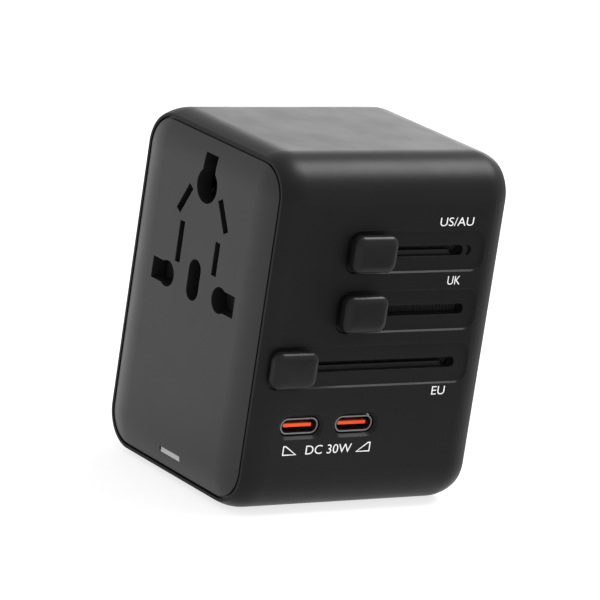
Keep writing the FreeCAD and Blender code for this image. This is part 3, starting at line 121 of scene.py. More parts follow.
class AdapterPrint(bpy.types.PropertyGroup):
    ink: length("Ink", "Thickness of the printed ink", 0.012 * MM)
    label_height: length("Label height", "Height of the capitals beside the sliders", 1.75 * MM)
    rating_height: length("Rating height", "Height of the figures under the ports", 1.85 * MM)
    us_text: StringProperty(name="First label", description="Word beside the top slider", default="US/AU")
    uk_text: StringProperty(name="Second label", description="Word beside the middle slider", default="UK")
    eu_text: StringProperty(name="Third label", description="Word beside the bottom slider", default="EU")
    rating: StringProperty(name="Rating", description="Power figure under the ports", default="DC 30W")
    stroke: length("Stroke", "Width of the line that draws a mark", 0.24 * MM)


class AdapterPorts(bpy.types.PropertyGroup):
    pads: IntProperty(name="Contacts", description="Contact strips on each side of a tongue", default=12)
    pitch: length("Pitch", "Distance from one contact strip to the next", 0.5 * MM)
    half_width: length("Half width", "Half the width of a contact strip", 0.13 * MM)
    height: length("Height", "How far a contact strip stands off the tongue", 0.02 * MM)
    back_gap: length("Back gap", "From the tongue's root to the strips", 1.2 * MM)
    front_gap: length("Front gap", "From the strips to the tongue's tip", 0.5 * MM)


class AdapterFinish(bpy.types.PropertyGroup):
    shell: colour("Shell", "Colour of the sleeve and the rear cover", (0.0072, 0.0072, 0.0076))
    panel: colour("Panel", "Colour of the socket face", (0.0095, 0.0095, 0.0099))
    knob: colour("Knobs", "Colour of the slider knobs", (0.0082, 0.0082, 0.0086))
    tongue: colour("Tongue", "Colour of the tongue inside each port", (0.86, 0.075, 0.008))
    grain: length("Grain", "Size of the moulded surface's grain", 0.16 * MM)
    wear: share("Wear", "How much the edges are polished by handling", 0.35)


class AdapterStage(bpy.types.PropertyGroup):
    azimuth: FloatProperty(name="Azimuth", description="Camera's turn about the object", subtype="ANGLE",
                           default=math.radians(53.367))
    elevation: FloatProperty(name="Elevation", description="Camera's height as an angle", subtype="ANGLE",
                             default=math.radians(14.329))
    roll: FloatProperty(name="Roll", description="Camera's lean about its line of sight", subtype="ANGLE",
                        default=math.radians(8.661))
    distance: length("Distance", "From the camera to the middle of the object", 916.56 * MM)
    lens: FloatProperty(name="Lens", description="Focal length in millimetres", default=274.75)
    sensor: FloatProperty(name="Sensor", description="Width of the sensor in millimetres", default=36.0)
    shift_x: FloatProperty(name="Shift X", description="Shift of the picture sideways", default=-0.0132)
    shift_y: FloatProperty(name="Shift Y", description="Shift of the picture upwards", default=0.0083)
    sky: FloatProperty(name="Sky", description="Strength of the even studio light", default=1.0)
    floor: colour("Floor", "Colour of the pale floor", (0.3, 0.3, 0.3))
    floor_half: length("Floor half", "Half the width of the floor", 4.0)
    glow: FloatProperty(name="Floor glow", description="Strength of the floor's own light", default=0.75)
    card: colour("Card", "Colour of the dark card", (0.12, 0.12, 0.12))
    flag_place: length("Flag place", "Distance of the dark card from the object's middle", 120 * MM)
    flag_low: length("Flag bottom", "Height of the card's lower edge", 0.0)
    flag_high: length("Flag top", "Height of the card's upper edge", 34 * MM)
    flag_near: length("Flag near edge", "From the object's middle along Y to the card's near edge", 30 * MM)
    flag_far: length("Flag far edge", "From the object's middle along Y to the card's far edge", 450 * MM)


# Materials

FIRST_COLOUR, MIXED_COLOUR = 6, 2  # a Mix node's colour sockets, whose names it uses more than once


def new_material(name):
    """An empty node material with a Principled shader joined to its output."""
    material = bpy.data.materials.new(name)
    material.use_nodes = True
    tree = material.node_tree
    shader = tree.nodes["Principled BSDF"]
    return material, tree, shader


def noise(tree, scale, detail=2.0, stretch=(1.0, 1.0, 1.0)):
    """Noise in Object coordinates; stretch makes its grain longer along an axis."""
    place = tree.nodes.new("ShaderNodeTexCoord")
    mapping = tree.nodes.new("ShaderNodeMapping")
    mapping.inputs["Scale"].default_value = stretch
    texture = tree.nodes.new("ShaderNodeTexNoise")
    texture.inputs["Scale"].default_value = scale
    texture.inputs["Detail"].default_value = detail
    tree.links.new(place.outputs["Object"], mapping.inputs["Vector"])
    tree.links.new(mapping.outputs["Vector"], texture.inputs["Vector"])
    return texture.outputs["Fac"]


def ranged(tree, source, low, high, start=0.3, stop=0.7):
    """Stretch the part of a value between start and stop to run from low to high."""
    node = tree.nodes.new("ShaderNodeMapRange")
    for name, value in (("From Min", start), ("From Max", stop), ("To Min", low), ("To Max", high)):
        node.inputs[name].default_value = value
    tree.links.new(source, node.inputs["Value"])
    return node.outputs["Result"]


def blended(tree, factor, first, second):
    """Mix two colours, each a triple or a socket, by a factor socket."""
    node = tree.nodes.new("ShaderNodeMix")
    node.data_type = "RGBA"
    tree.links.new(factor, node.inputs["Factor"])
    for socket, value in zip(node.inputs[FIRST_COLOUR:], (first, second)):
        if isinstance(value, bpy.types.NodeSocket):
            tree.links.new(value, socket)
        else:
            socket.default_value = (*value, 1.0)
    return node.outputs[MIXED_COLOUR]


def edges(tree, radius, strength):
    """A mask that is 1 on sharp edges: how far the rounded normal leans from the true one."""
    bevel = tree.nodes.new("ShaderNodeBevel")
    bevel.samples = 6
    bevel.inputs["Radius"].default_value = radius
    geometry = tree.nodes.new("ShaderNodeNewGeometry")
    dot = tree.nodes.new("ShaderNodeVectorMath")
    dot.operation = "DOT_PRODUCT"
    tree.links.new(bevel.outputs["Normal"], dot.inputs[0])
    tree.links.new(geometry.outputs["Normal"], dot.inputs[1])
    return bevel.outputs["Normal"], ranged(tree, dot.outputs["Value"], strength, 0.0, 0.82, 1.0)


def tinted(base, factor, added=0.0):
    """A colour times a factor plus a little white, kept at 1 or less."""
    return tuple(min(1.0, factor * part + added) for part in base)


def bumped(tree, shader, height, strength, distance, normal=None):
    """Give a shader a fine relief from a height socket, on top of a normal where there is one."""
    bump = tree.nodes.new("ShaderNodeBump")
    bump.inputs["Strength"].default_value = strength
    bump.inputs["Distance"].default_value = distance
    tree.links.new(height, bump.inputs["Height"])
    if normal is not None:
        tree.links.new(normal, bump.inputs["Normal"])
    tree.links.new(bump.outputs["Normal"], shader.inputs["Normal"])


PLASTIC_IOR = 1.45


def moulded(name, base, roughness, grain=0.16 * MM, depth=0.25, level=0.5, wear=0.35, bevel=0.14 * MM):
    """Moulded plastic: eroded grain, faint flow marks in colour and gloss, and paler worn edges."""
    material, tree, shader = new_material(name)
    soft, worn = edges(tree, bevel, wear)
    flow = ranged(tree, noise(tree, 55.0, 4.0, (1.0, 1.0, 0.45)), 0.0, 1.0)
    mottled = blended(tree, flow, tinted(base, 0.9), tinted(base, 1.12))
    tree.links.new(blended(tree, worn, mottled, tinted(base, 2.1, 0.01)), shader.inputs["Base Color"])
    smears = noise(tree, 160.0, 5.0)
    tree.links.new(ranged(tree, smears, roughness - 0.02, roughness + 0.025), shader.inputs["Roughness"])
    shader.inputs["IOR"].default_value = PLASTIC_IOR
    shader.inputs["Specular IOR Level"].default_value = level
    bumped(tree, shader, noise(tree, 1.0 / grain, 2.0), depth, 0.02 * MM, soft)
    return material


def plated(name, base, roughness, stretch=(1.0, 6.0, 1.0), scale=900.0, bevel=0.08 * MM):
    """Drawn or plated metal: fine lines along the drawing direction and brighter worn edges."""
    material, tree, shader = new_material(name)
    soft, worn = edges(tree, bevel, 0.6)
    lines = noise(tree, scale, 3.0, tuple(1.0 / part for part in stretch))
    tint = blended(tree, ranged(tree, lines, 0.0, 1.0), tinted(base, 0.82), base)
    tree.links.new(blended(tree, worn, tint, tinted(base, 1.15)), shader.inputs["Base Color"])
    shader.inputs["Metallic"].default_value = 1.0
    tree.links.new(ranged(tree, lines, roughness - 0.07, roughness + 0.09), shader.inputs["Roughness"])
    bumped(tree, shader, lines, 0.25, 0.01 * MM, soft)
    return material


def patterned(name, base, second, scale, roughness, stretch=(1.0, 1.0, 1.0), metallic=0.0):
    """A finish made of two colours in a small pattern, such as fibres, enamel or sintered grains."""
    material, tree, shader = new_material(name)
    soft, _ = edges(tree, 0.1 * MM, 0.0)
    spots = noise(tree, scale, 4.0, stretch)
    share_second = ranged(tree, spots, 0.0, 1.0, 0.4, 0.6)
    tree.links.new(blended(tree, share_second, base, second), shader.inputs["Base Color"])
    tree.links.new(ranged(tree, spots, roughness - 0.08, roughness + 0.08), shader.inputs["Roughness"])
    shader.inputs["Metallic"].default_value = metallic
    bumped(tree, shader, spots, 0.2, 0.03 * MM, soft)
    return material


def ink_material():
    """Matte white pad print, slightly uneven and thin at its edges."""
    material, tree, shader = new_material("white_ink")
    cover = ranged(tree, noise(tree, 2400.0, 3.0), 0.0, 1.0)
    tree.links.new(blended(tree, cover, (0.78, 0.78, 0.78), (0.93, 0.93, 0.93)), shader.inputs["Base Color"])
    tree.links.new(ranged(tree, cover, 0.5, 0.62, 0.0, 1.0), shader.inputs["Roughness"])
    bumped(tree, shader, cover, 0.15, 0.01 * MM)
    return material


def finishes(settings):
    """Every finish by the name of its slot in the record."""
    inner = dict(roughness=0.5, grain=0.25 * MM, depth=0.3, level=0.35)
    return {
        "shell_plastic": moulded("shell_plastic", settings.shell, 0.38, settings.grain, level=0.13,
                                 wear=settings.wear),
        "panel_plastic": moulded("panel_plastic", settings.panel, 0.38, 0.6 * settings.grain, depth=0.15,
                                 level=0.42, wear=settings.wear),
        "knob_plastic": moulded("knob_plastic", settings.knob, 0.34, 0.8 * settings.grain, level=0.17,
                                wear=settings.wear),
        "inner_plastic": moulded("inner_plastic", (0.012, 0.012, 0.0125), **inner),
        "shutter_plastic": moulded("shutter_plastic", (0.008, 0.008, 0.0085), **inner),
        "carriage_plastic": moulded("carriage_plastic", (0.02, 0.02, 0.021), **inner),
        "nose_plastic": moulded("nose_plastic", (0.016, 0.016, 0.017), 0.42),
        "sleeve_plastic": moulded("sleeve_plastic", (0.012, 0.012, 0.012), 0.38),
        "pin_metal": plated("pin_metal", (0.73, 0.7, 0.64), 0.24),
        "contact_brass": plated("contact_brass", (0.78, 0.58, 0.27), 0.3),
        "screw_steel": plated("screw_steel", (0.11, 0.11, 0.115), 0.36, (1.0, 1.0, 1.0), 2500.0),
        "spring_steel": plated("spring_steel", (0.56, 0.56, 0.58), 0.25, (1.0, 1.0, 1.0), 3000.0),
        "plated_metal": plated("plated_metal", (0.2, 0.2, 0.205), 0.36, (6.0, 1.0, 1.0)),
        "tongue_plastic": moulded("tongue_plastic", settings.tongue, 0.34, 0.3 * MM, 0.08, wear=0.15),
        "board_laminate": patterned("board_laminate", (0.003, 0.008, 0.006), (0.005, 0.013, 0.009), 700.0,
                                    0.35),
        "ferrite": patterned("ferrite", (0.03, 0.03, 0.033), (0.06, 0.06, 0.065), 3500.0, 0.55),
        "winding_tape": patterned("winding_tape", (0.72, 0.47, 0.05), (0.8, 0.56, 0.09), 900.0, 0.3,
                                  (1.0, 1.0, 8.0)),
        "capacitor_sleeve": patterned("capacitor_sleeve", (0.012, 0.018, 0.05), (0.018, 0.025, 0.07), 400.0,
                                      0.28),
        "copper_wire": patterned("copper_wire", (0.5, 0.18, 0.06), (0.68, 0.28, 0.1), 1800.0, 0.3,
                                 metallic=0.8),
        "chip_epoxy": patterned("chip_epoxy", (0.012, 0.012, 0.012), (0.03, 0.03, 0.03), 3000.0, 0.6),
        "lead_insulation": patterned("lead_insulation", (0.35, 0.02, 0.015), (0.45, 0.03, 0.02), 800.0,
                                     0.45),
        "fuse_ceramic": patterned("fuse_ceramic", (0.8, 0.79, 0.74), (0.88, 0.87, 0.83), 1500.0, 0.5),
        "lens_plastic": moulded("lens_plastic", (0.4, 0.4, 0.41), 0.3, 0.3 * MM, 0.1, wear=0.1),
        "lamp_epoxy": patterned("lamp_epoxy", (0.7, 0.74, 0.8), (0.8, 0.83, 0.88), 500.0, 0.15),
    }


FINISHES = {}


def finish_of(slot):
    """The finish of a slot. All of them are made the first time one is asked for."""
    if not FINISHES:
        FINISHES.update(finishes(bpy.context.scene.adapter_finish))
    return FINISHES[slot]


# Surfaces

def mesh_piece(name, points, faces, body, slot, material=None, smooth=True):
    """Put arrays of corners and faces into one object that rides on a body."""
    mesh = bpy.data.meshes.new(name)
    mesh.from_pydata(np.asarray(points, float).tolist(), [], [list(map(int, face)) for face in faces])
    mesh.materials.append(material or finish_of(slot))
    mesh.update()
    piece = bpy.data.objects.new(name, mesh)
    bpy.context.scene.collection.objects.link(piece)
    if smooth:
        mesh.polygons.foreach_set("use_smooth", [True] * len(mesh.polygons))
    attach(piece, body)
    return piece


def grid_faces(rows, columns, first=0):
    """Quads of a grid whose columns close on themselves, as an array of corner numbers."""
    row, column = np.meshgrid(np.arange(rows - 1), np.arange(columns), indexing="ij")
    after = (column + 1) % columns
    quads = np.stack([row * columns + column, row * columns + after,
                      (row + 1) * columns + after, (row + 1) * columns + column], -1)
    return quads.reshape(-1, 4) + first


def closed_tube(rings):
    """Corners and faces of a stack of rings (rows, columns, 3), each end closed by one flat face."""
    rows, columns, _ = rings.shape
    faces = [list(face) for face in grid_faces(rows, columns)]
    faces.append(list(range(columns))[::-1])
    faces.append(list(range((rows - 1) * columns, rows * columns)))
    return rings.reshape(-1, 3), faces


def soft_rectangle(half_y, half_z, corner, count=16):
    """A rectangle with round corners: each corner's centre plus its radius times (cos t, sin t)."""
    turns = np.linspace(0.0, 0.5 * math.pi, count)
    angle = (np.arange(4)[:, None] * 0.5 * math.pi + turns).ravel()
    side = np.repeat(np.array([[1, 1], [-1, 1], [-1, -1], [1, -1]], float), count, 0)
    centre = side * np.array([half_y - corner, half_z - corner])
    return centre + corner * np.stack([np.cos(angle), np.sin(angle)], -1)


def recalculated(piece):
    """Turn every face outwards."""
    solid = bmesh.new()
    solid.from_mesh(piece.data)
    bmesh.ops.recalc_face_normals(solid, faces=solid.faces)
    solid.to_mesh(piece.data)
    solid.free()
    return piece


def bar_rings(x_values, half_y, half_z, corner, middle):
    """One soft rectangle for each x, all of one size, about the middle (y, z)."""
    outline = soft_rectangle(half_y, half_z, corner, 6)
    rings = [np.column_stack([np.full(len(outline), x), outline + middle]) for x in x_values]
    return np.stack(rings)


def knob_rings(low, high, settings):
    """The cap: a soft rectangle shrunk by s(v) and raised by x(v).

    Round the back, v from 0 to a quarter turn gives s = f (1 - sin v) and x = back + f (1 - cos v),
    with f the foot radius.  Over the slanted edge, w from 0 to 1 gives a way in of
    slant (0.65 w + 0.35 w^3) and a rise of bevel (1 - 0.65 w - 0.35 (1 - (1 - w)^3)) below the face's
    rim, so that the edge eases into the face.  Over the face x rises by the crown times
    1 - (1 - r)^2, with r the way in to the middle.
    """
    half_y, half_z = (high.y - low.y) / 2, (high.z - low.z) / 2
    middle = np.array([(high.y + low.y) / 2, (high.z + low.z) / 2])
    top, back = high.x - settings.crown, high.x - settings.thickness
    foot = settings.foot
    quarter = np.linspace(0.0, 0.5 * math.pi, 7)
    way = np.linspace(0.0, 1.0, 12)
    slant_in = settings.slant * (0.65 * way + 0.35 * way ** 3)
    slant_up = top - settings.bevel * (1 - (0.65 * way + 0.35 * (1 - (1 - way) ** 3)))
    inset = np.concatenate([foot * (1 - np.sin(quarter[:-1])), [0.0], slant_in])
    rise = np.concatenate([back + foot * (1 - np.cos(quarter[:-1])), [back + foot], slant_up])
    rings = []
    for shrink, x in zip(inset, rise):
        outline = soft_rectangle(half_y - shrink, half_z - shrink, settings.corner - 0.5 * shrink)
        rings.append(np.column_stack([np.full(len(outline), x), outline + middle]))
    rim = rings[-1]
    centre = np.array([0.0, *middle])
    for share_in in (0.15, 0.35, 0.6, 0.85, 0.97):
        ring = rim + share_in * (centre - rim)
        ring[:, 0] = top + settings.crown * (1 - (1 - share_in) ** 2)
        rings.append(ring)
    return np.stack(rings)


# What stands behind a knob's cap, in millimetres: where it starts and ends in X, half its length along the
# slot, half its height and its corner radius. The neck ends inside the cap.
NECK_START = 24.0
NECK = (1.9, 0.9, 0.85)
WEB_SPAN = (20.3, 24.2)
WEB = (1.3, 0.45, 0.1)
FOOT_SPAN = (19.4, 20.55)
FOOT = (1.3, 1.4, 0.15)
END_BEVEL = 0.1
END_SHRINK = 0.06


class ADAPTER_OT_knobs(bpy.types.Operator):
    """Three slider knobs, each a crowned cap with a neck, a thin web and a foot"""
    bl_idname = "adapter.knobs"
    bl_label = "Slider knobs"

    def execute(self, context):
        settings = context.scene.adapter_knobs
        for word in SLIDERS:
            low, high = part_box(word + "_knob")
            cap, faces = closed_tube(knob_rings(low, high, settings))
            points, count = [cap], len(cap)
            spring_low, spring_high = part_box(word + "_knob_spring")
            lower = np.array([(spring_low.y + spring_high.y) / 2, (spring_low.z + spring_high.z) / 2])
            middle = np.array([lower[0], (low.z + high.z) / 2 - settings.lift])
            neck_end = (high.x - settings.thickness + settings.sunk) / MM
            neck_span = (NECK_START, neck_end)
            parts = ((neck_span, NECK, middle), (WEB_SPAN, WEB, lower), (FOOT_SPAN, FOOT, lower))
            for (start, end), section, about in parts:
                stations = np.array([start, start + END_BEVEL, end]) * MM
                rings = bar_rings(stations, *(MM * size for size in section), about)
                rings[0, :, 1:] += END_SHRINK * (about - rings[0, :, 1:])
                part, part_faces = closed_tube(rings)
                faces += [[number + count for number in face] for face in part_faces]
                points.append(part)
                count += len(part)
            piece = mesh_piece(word + "_knob_looks", np.concatenate(points), faces, word + "_knob",
                               "knob_plastic")
            recalculated(piece)
            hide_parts(word + "_knob")
        return {"FINISHED"}


STEPS_A_TURN = 28
ROUND_WIRE = 10


def coil(axis, low, high, wire, turns):
    """Round wire on a helix: centre + R (cos u, sin u) turns about the axis while it climbs evenly.

    The wire's section is wire (cos v, sin v) in the plane of the radius and the axis.
    """
    low, high = np.array(low), np.array(high)
    middle = (low + high) / 2
    others = [letter for letter in range(3) if letter != axis]
    radius = (high[others[0]] - low[others[0]]) / 2 - wire
    steps = int(STEPS_A_TURN * turns)
    angle = np.linspace(0.0, 2 * math.pi * turns, steps)[:, None]
    round_wire = np.linspace(0.0, 2 * math.pi, ROUND_WIRE, endpoint=False)[None, :]
    climb = np.linspace(low[axis] + wire, high[axis] - wire, steps)[:, None]
    reach = radius + wire * np.cos(round_wire)
    rings = np.empty((steps, ROUND_WIRE, 3))
    rings[..., others[0]] = middle[others[0]] + reach * np.cos(angle)
    rings[..., others[1]] = middle[others[1]] + reach * np.sin(angle)
    rings[..., axis] = climb + wire * np.sin(round_wire)
    return closed_tube(rings)


# The share of its length that a spring keeps when its joint is at its limit.
KNOB_KEEP = 0.64
SHUTTER_KEEP = 0.375


class ADAPTER_OT_springs(bpy.types.Operator):
    """Coil springs behind the knobs and under the socket shutter"""
    bl_idname = "adapter.springs"
    bl_label = "Coil springs"

    def execute(self, context):
        settings = context.scene.adapter_springs
        jobs = [(word + "_knob_spring", 0, word + "_slider", word + "_knob_press", settings.knob_turns,
                 KNOB_KEEP) for word in SLIDERS]
        jobs.append(("shutter_spring", 2, "housing", "shutter_slide", settings.shutter_turns, SHUTTER_KEEP))
        for node, axis, body, joint, turns, keep in jobs:
            low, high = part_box(node)
            points, faces = coil(axis, low, high, settings.wire, turns)
            piece = recalculated(mesh_piece(node + "_coil", points, faces, body, "spring_steel"))
            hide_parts(node)
            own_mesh(piece)
        return {"FINISHED"}


class ADAPTER_OT_curtains(bpy.types.Operator):
    """Pleated dark curtains that close the slots behind the knobs: painted shade, dark sheets that keep the slots
    dark where light from the rear openings would show through
    """
    bl_idname = "adapter.curtains"
    bl_label = "Slot shade curtains"

    def execute(self, context):
        settings = context.scene.adapter_curtains
        travel = {joint["name"]: joint["range_m"][1] for joint in frame["joints"] if "range_m" in joint}
        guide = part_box("side_guide")[0].x
        for word, joint in SLIDES.items():
            low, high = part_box(word + "_knob_spring")
            start = (low.y + high.y) / 2 + settings.clear
            end = start + travel[joint] + settings.stack
            level = (low.z + high.z) / 2
            # Each curtain is painted shade: a dark sheet that keeps its slot dark where light from the rear
            # openings would show through
            points, faces = closed_tube(pleats(start, end, guide - settings.gap, level, settings))
            piece = mesh_piece(word + "_slot_shade_curtain", points, faces, "housing", "shutter_plastic", smooth=False)
            recalculated(piece)
            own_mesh(piece)
        return {"FINISHED"}


def pleats(start, end, outer, level, settings):
    """A folded film: x goes to and fro between two planes, once each way per pleat, as y runs on.

    Each ring is the film's section at one fold: its thickness in x by its height in z.
    """
    count = 2 * round((end - start) / settings.pleat) + 1
    y = np.linspace(start, end, count)
    x = outer - settings.film - np.where(np.arange(count) % 2, settings.fold, 0.0)
    film, tall = settings.film / 2, settings.curtain_height / 2
    corners = ((-film, -tall), (film, -tall), (film, tall), (-film, tall))
    lines = [np.column_stack([x + across, y, np.full(count, level + up)]) for across, up in corners]
    return np.stack(lines, 1)


# Printing

# The words beside the sliders and under the ports: where each starts and ends in Y and its foot in Z, in
# millimetres.
LABELS = {
    "label_us_au": (11.0, 19.2, 58.8),
    "label_uk": (15.0, 18.1, 46.75),
    "label_eu": (15.4, 18.6, 24.0),
    "rating": (-13.2, -2.2, 12.8),
}
# The two marks beside the rating, each a triangle with its tip cut off: its length, its height, the length of
# the cut, where it starts in Y and its foot in Z, in millimetres.
MARK_LENGTH = 3.1
MARK_HEIGHT = 1.75
MARK_END = 0.5
MARK_STARTS = {"mark_front": -18.6, "mark_back": -0.9}
MARK_FOOT = 12.9


def printed(name, shape):
    """Make a flat mesh, already laid on the side wall, a printed piece of the housing."""
    shape.materials.clear()
    shape.materials.append(bpy.data.materials.get("white_ink") or ink_material())
    piece = bpy.data.objects.new(name, shape)
    bpy.context.scene.collection.objects.link(piece)
    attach(piece, "housing")
    return piece


def wall_matrix(y, z, lift):
    """Places a flat shape drawn in X and Y on the side wall: X runs along +Y and Y runs up."""
    turn = Matrix(((0, 0, 1, 0), (1, 0, 0, 0), (0, 1, 0, 0), (0, 0, 0, 1)))
    return Matrix.Translation((SIDE + lift, y, z)) @ turn


def lettering(name, text, height, ink):
    """Words of a given capital height, stretched to fill their stretch of the wall."""
    y_low, y_high, z = (MM * place for place in LABELS[name])
    curve = bpy.data.curves.new(name, "FONT")
    curve.body = text
    curve.size = 1.0
    curve.resolution_u = 4
    curve.offset = -0.004
    holder = bpy.data.objects.new(name + "_curve", curve)
    bpy.context.scene.collection.objects.link(holder)
    bpy.context.view_layer.update()
    shape = bpy.data.meshes.new_from_object(holder.evaluated_get(bpy.context.evaluated_depsgraph_get()))
    bpy.data.objects.remove(holder)
    points = np.array([corner.co for corner in shape.vertices])
    low, high = points.min(0), points.max(0)
    scale = Matrix.Diagonal(((y_high - y_low) / (high[0] - low[0]), height / (high[1] - low[1]), 1.0, 1.0))
    shape.transform(wall_matrix(y_low, z, ink) @ scale @ Matrix.Translation((-low[0], -low[1], 0)))
    return printed(name, shape)


def line_mark(name, outline, width, y, z, ink):
    """An outline drawn as a band: each corner is offset to both sides along its mitre."""
    points = np.array(outline, float) * MM
    count = len(points)
    before, after = np.roll(points, 1, 0), np.roll(points, -1, 0)
    first = (points - before) / np.linalg.norm(points - before, axis=1)[:, None]
    second = (after - points) / np.linalg.norm(after - points, axis=1)[:, None]
    normal = np.stack([-first[:, 1] - second[:, 1], first[:, 0] + second[:, 0]], -1)
    reach = width / 2 / (1 + (first * second).sum(1))
    shift = normal * np.minimum(reach, 1.6 * width)[:, None]
    flat = np.concatenate([points + shift, points - shift])
    corners = np.column_stack([flat, np.zeros(len(flat))])
    numbers = np.arange(count)
    faces = np.stack([numbers, (numbers + 1) % count, (numbers + 1) % count + count, numbers + count], -1)
    shape = bpy.data.meshes.new(name)
    shape.from_pydata(corners.tolist(), [], faces.tolist())
    shape.transform(wall_matrix(y, z, ink))
    return printed(name, shape)


class ADAPTER_OT_printing(bpy.types.Operator):
    """White labels beside the sliders and plain marks under the ports"""
    bl_idname = "adapter.printing"
    bl_label = "White printing"

    def execute(self, context):
        settings = context.scene.adapter_print
        lettering("label_us_au", settings.us_text, settings.label_height, settings.ink)
        lettering("label_uk", settings.uk_text, settings.label_height, settings.ink)
        lettering("label_eu", settings.eu_text, settings.label_height, settings.ink)
        lettering("rating", settings.rating, settings.rating_height, settings.ink)
        for name, start in MARK_STARTS.items():
            end = MARK_LENGTH if name == "mark_back" else MARK_END
            outline = ((0, 0), (MARK_LENGTH, 0), (end, MARK_HEIGHT), (end - MARK_END, MARK_HEIGHT))
            line_mark(name, outline, settings.stroke, start * MM, MARK_FOOT * MM, settings.ink)
        return {"FINISHED"}


BOX_CORNERS = 8
BOX_FACES = ((3, 2, 1, 0), (4, 5, 6, 7), (0, 1, 5, 4), (1, 2, 6, 5), (2, 3, 7, 6), (3, 0, 4, 7))


class ADAPTER_OT_ports(bpy.types.Operator):
    """Gilded contact strips on the tongue of each USB-C port"""
    bl_idname = "adapter.ports"
    bl_label = "Port contacts"

    def execute(self, context):
        settings = context.scene.adapter_ports
        gilt = plated("gilt", (0.85, 0.6, 0.25), 0.2, (4.0, 1.0, 1.0), 1500.0, 0.02 * MM)
        for word in ("front", "back"):
            low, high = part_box("usb_tongue_" + word)
            middle = (low.y + high.y) / 2
            rows = middle + settings.pitch * (np.arange(settings.pads) - (settings.pads - 1) / 2)
            points, faces = [], []
            back, front = low.x + settings.back_gap, high.x - settings.front_gap
            outline = ((back, -1), (front, -1), (front, 1), (back, 1))
            for z, way in ((high.z, 1), (low.z, -1)):
                for y in rows:
                    base = BOX_CORNERS * len(points)
                    points.append(np.array([[x, y + side * settings.half_width, z + way * lift]
                                            for lift in (0.0, settings.height) for x, side in outline]))
                    faces += [[base + corner for corner in face] for face in BOX_FACES]
            piece = mesh_piece("port_contacts_" + word, np.concatenate(points), faces, "housing",
                               "contact_brass", gilt, smooth=False)
            recalculated(piece)
        return {"FINISHED"}


class ADAPTER_OT_finish(bpy.types.Operator):
    """Give every carried-over part the finish of its slot"""
    bl_idname = "adapter.finish"
    bl_label = "Finishes"

    def execute(self, context):
        slots = {part["node"]: part["material_slot"] for part in frame["record"]["subparts"]}
        for name, part in frame["nodes"].items():
            part.data.materials.clear()
            part.data.materials.append(finish_of(slots[name]))
        return {"FINISHED"}


# Stage

MIDDLE = Vector((0.0, 0.6 * MM, 35.5 * MM))  # what the camera and the lamps point at

# Each lamp: the way to it from the middle, its distance and its two sizes in metres, and its power in watts.
LAMPS = (
    ("overhead", (0.1, 0.58, 0.8), 0.8, (0.4, 0.4), 8.0),
    ("rear_left", (-0.7, 0.68, 0.27), 0.34, (0.18, 0.12), 0.16),
)


def soft_light(name, place, aim, size, power):
    """A rectangular soft box that faces a point."""
    lamp = bpy.data.lights.new(name, "AREA")
    lamp.shape = "RECTANGLE"
    lamp.size, lamp.size_y = size
    lamp.energy = power
    holder = bpy.data.objects.new(name, lamp)
    holder.location = place
    holder.rotation_euler = (aim - place).to_track_quat("-Z", "Y").to_euler()
    bpy.context.scene.collection.objects.link(holder)


def stage_card(name, corners, base, roughness, glow=0.0):
    """One plain rectangle of the studio, which isn't part of the object."""
    shape = bpy.data.meshes.new(name)
    shape.from_pydata(corners, [], [(0, 1, 2, 3)])
    material, _, shader = new_material(name + "_paint")
    shader.inputs["Base Color"].default_value = (*base, 1.0)
    shader.inputs["Roughness"].default_value = roughness
    shader.inputs["Emission Color"].default_value = (1.0, 1.0, 1.0, 1.0)
    shader.inputs["Emission Strength"].default_value = glow
    shape.materials.append(material)
    card = bpy.data.objects.new(name, shape)
    bpy.context.scene.collection.objects.link(card)


def studio_world(strength):
    """Even white light from all round."""
    world = bpy.data.worlds.new("studio")
    bpy.context.scene.world = world
    world.use_nodes = True
    sky = world.node_tree.nodes["Background"]
    sky.inputs["Color"].default_value = (1.0, 1.0, 1.0, 1.0)
    sky.inputs["Strength"].default_value = strength


def studio_camera(settings):
    """The camera, turned, raised and leant about the middle."""
    camera = bpy.data.objects.new("camera", bpy.data.cameras.new("camera"))
    bpy.context.scene.collection.objects.link(camera)
    turn, rise, roll = settings.azimuth, settings.elevation, settings.roll
    back = Vector((math.sin(turn) * math.cos(rise), -math.cos(turn) * math.cos(rise), math.sin(rise)))
    right = Vector((math.cos(turn), math.sin(turn), 0.0))
    up = back.cross(right)
    across = right * math.cos(roll) + up * math.sin(roll)
    upright = -right * math.sin(roll) + up * math.cos(roll)
    pose = Matrix((across, upright, back)).transposed().to_4x4()
    pose.translation = MIDDLE + back * settings.distance
    camera.matrix_world = pose
    camera.data.lens = settings.lens
    camera.data.sensor_width = settings.sensor
    camera.data.shift_x = settings.shift_x
    camera.data.shift_y = settings.shift_y
    camera.data.clip_start = 0.01
    camera.data.clip_end = 20.0
    bpy.context.scene.camera = camera


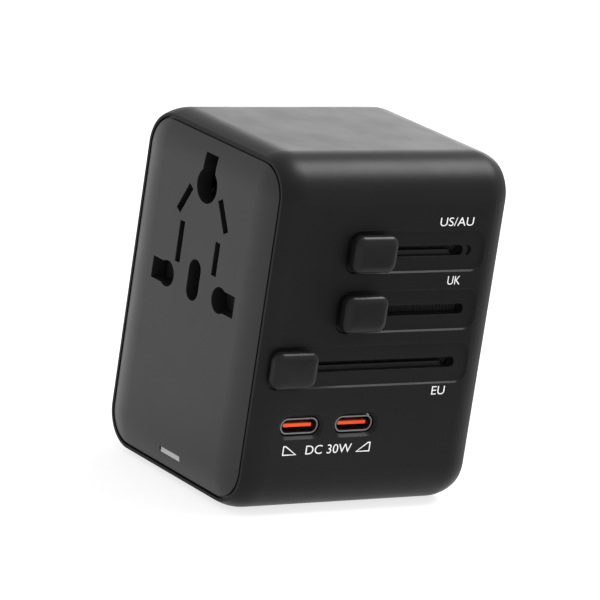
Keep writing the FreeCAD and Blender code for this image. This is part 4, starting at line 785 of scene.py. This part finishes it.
class ADAPTER_OT_stage(bpy.types.Operator):
    """Pale floor, even studio light and the camera"""
    bl_idname = "adapter.stage"
    bl_label = "Stage"

    def execute(self, context):
        settings = context.scene.adapter_stage
        context.scene.view_settings.view_transform = "Standard"
        studio_world(settings.sky)
        wide = settings.floor_half
        corners = [(-wide, -wide, 0), (wide, -wide, 0), (wide, wide, 0), (-wide, wide, 0)]
        stage_card("floor", corners, settings.floor, 0.9, settings.glow)
        for name, way, away, size, power in LAMPS:
            soft_light(name, MIDDLE + away * Vector(way).normalized(), MIDDLE, size, power)
        place, near, far = settings.flag_place, settings.flag_near, settings.flag_far
        low, high = settings.flag_low, settings.flag_high
        corners = [(place, near, low), (place, far, low), (place, far, high), (place, near, high)]
        stage_card("flag", corners, settings.card, 1.0)
        studio_camera(settings)
        return {"FINISHED"}


class ADAPTER_PT_panel(bpy.types.Panel):
    """Lists the adapter's pieces in the order they are built"""
    bl_label = "Travel adapter"
    bl_idname = "ADAPTER_PT_panel"
    bl_space_type = "VIEW_3D"
    bl_region_type = "UI"
    bl_category = "Adapter"

    def draw(self, context):
        for operator in OPERATORS:
            self.layout.operator(operator.bl_idname)


SETTINGS = {"adapter_knobs": AdapterKnobs, "adapter_springs": AdapterSprings,
            "adapter_curtains": AdapterCurtains, "adapter_print": AdapterPrint,
            "adapter_ports": AdapterPorts, "adapter_finish": AdapterFinish, "adapter_stage": AdapterStage}
OPERATORS = (ADAPTER_OT_finish, ADAPTER_OT_knobs, ADAPTER_OT_springs, ADAPTER_OT_curtains,
             ADAPTER_OT_printing, ADAPTER_OT_ports, ADAPTER_OT_stage)
CLASSES = (*SETTINGS.values(), *OPERATORS, ADAPTER_PT_panel)


def register():
    for kind in CLASSES:
        bpy.utils.register_class(kind)
    for name, kind in SETTINGS.items():
        setattr(bpy.types.Scene, name, PointerProperty(type=kind))


def unregister():
    for name in SETTINGS:
        delattr(bpy.types.Scene, name)
    for kind in reversed(CLASSES):
        bpy.utils.unregister_class(kind)


def main():
    register()
    bpy.ops.adapter.finish()
    bpy.ops.adapter.knobs()
    bpy.ops.adapter.springs()
    bpy.ops.adapter.curtains()
    bpy.ops.adapter.printing()
    bpy.ops.adapter.ports()
    bpy.ops.adapter.stage()


if __name__ == "__main__":
    main()
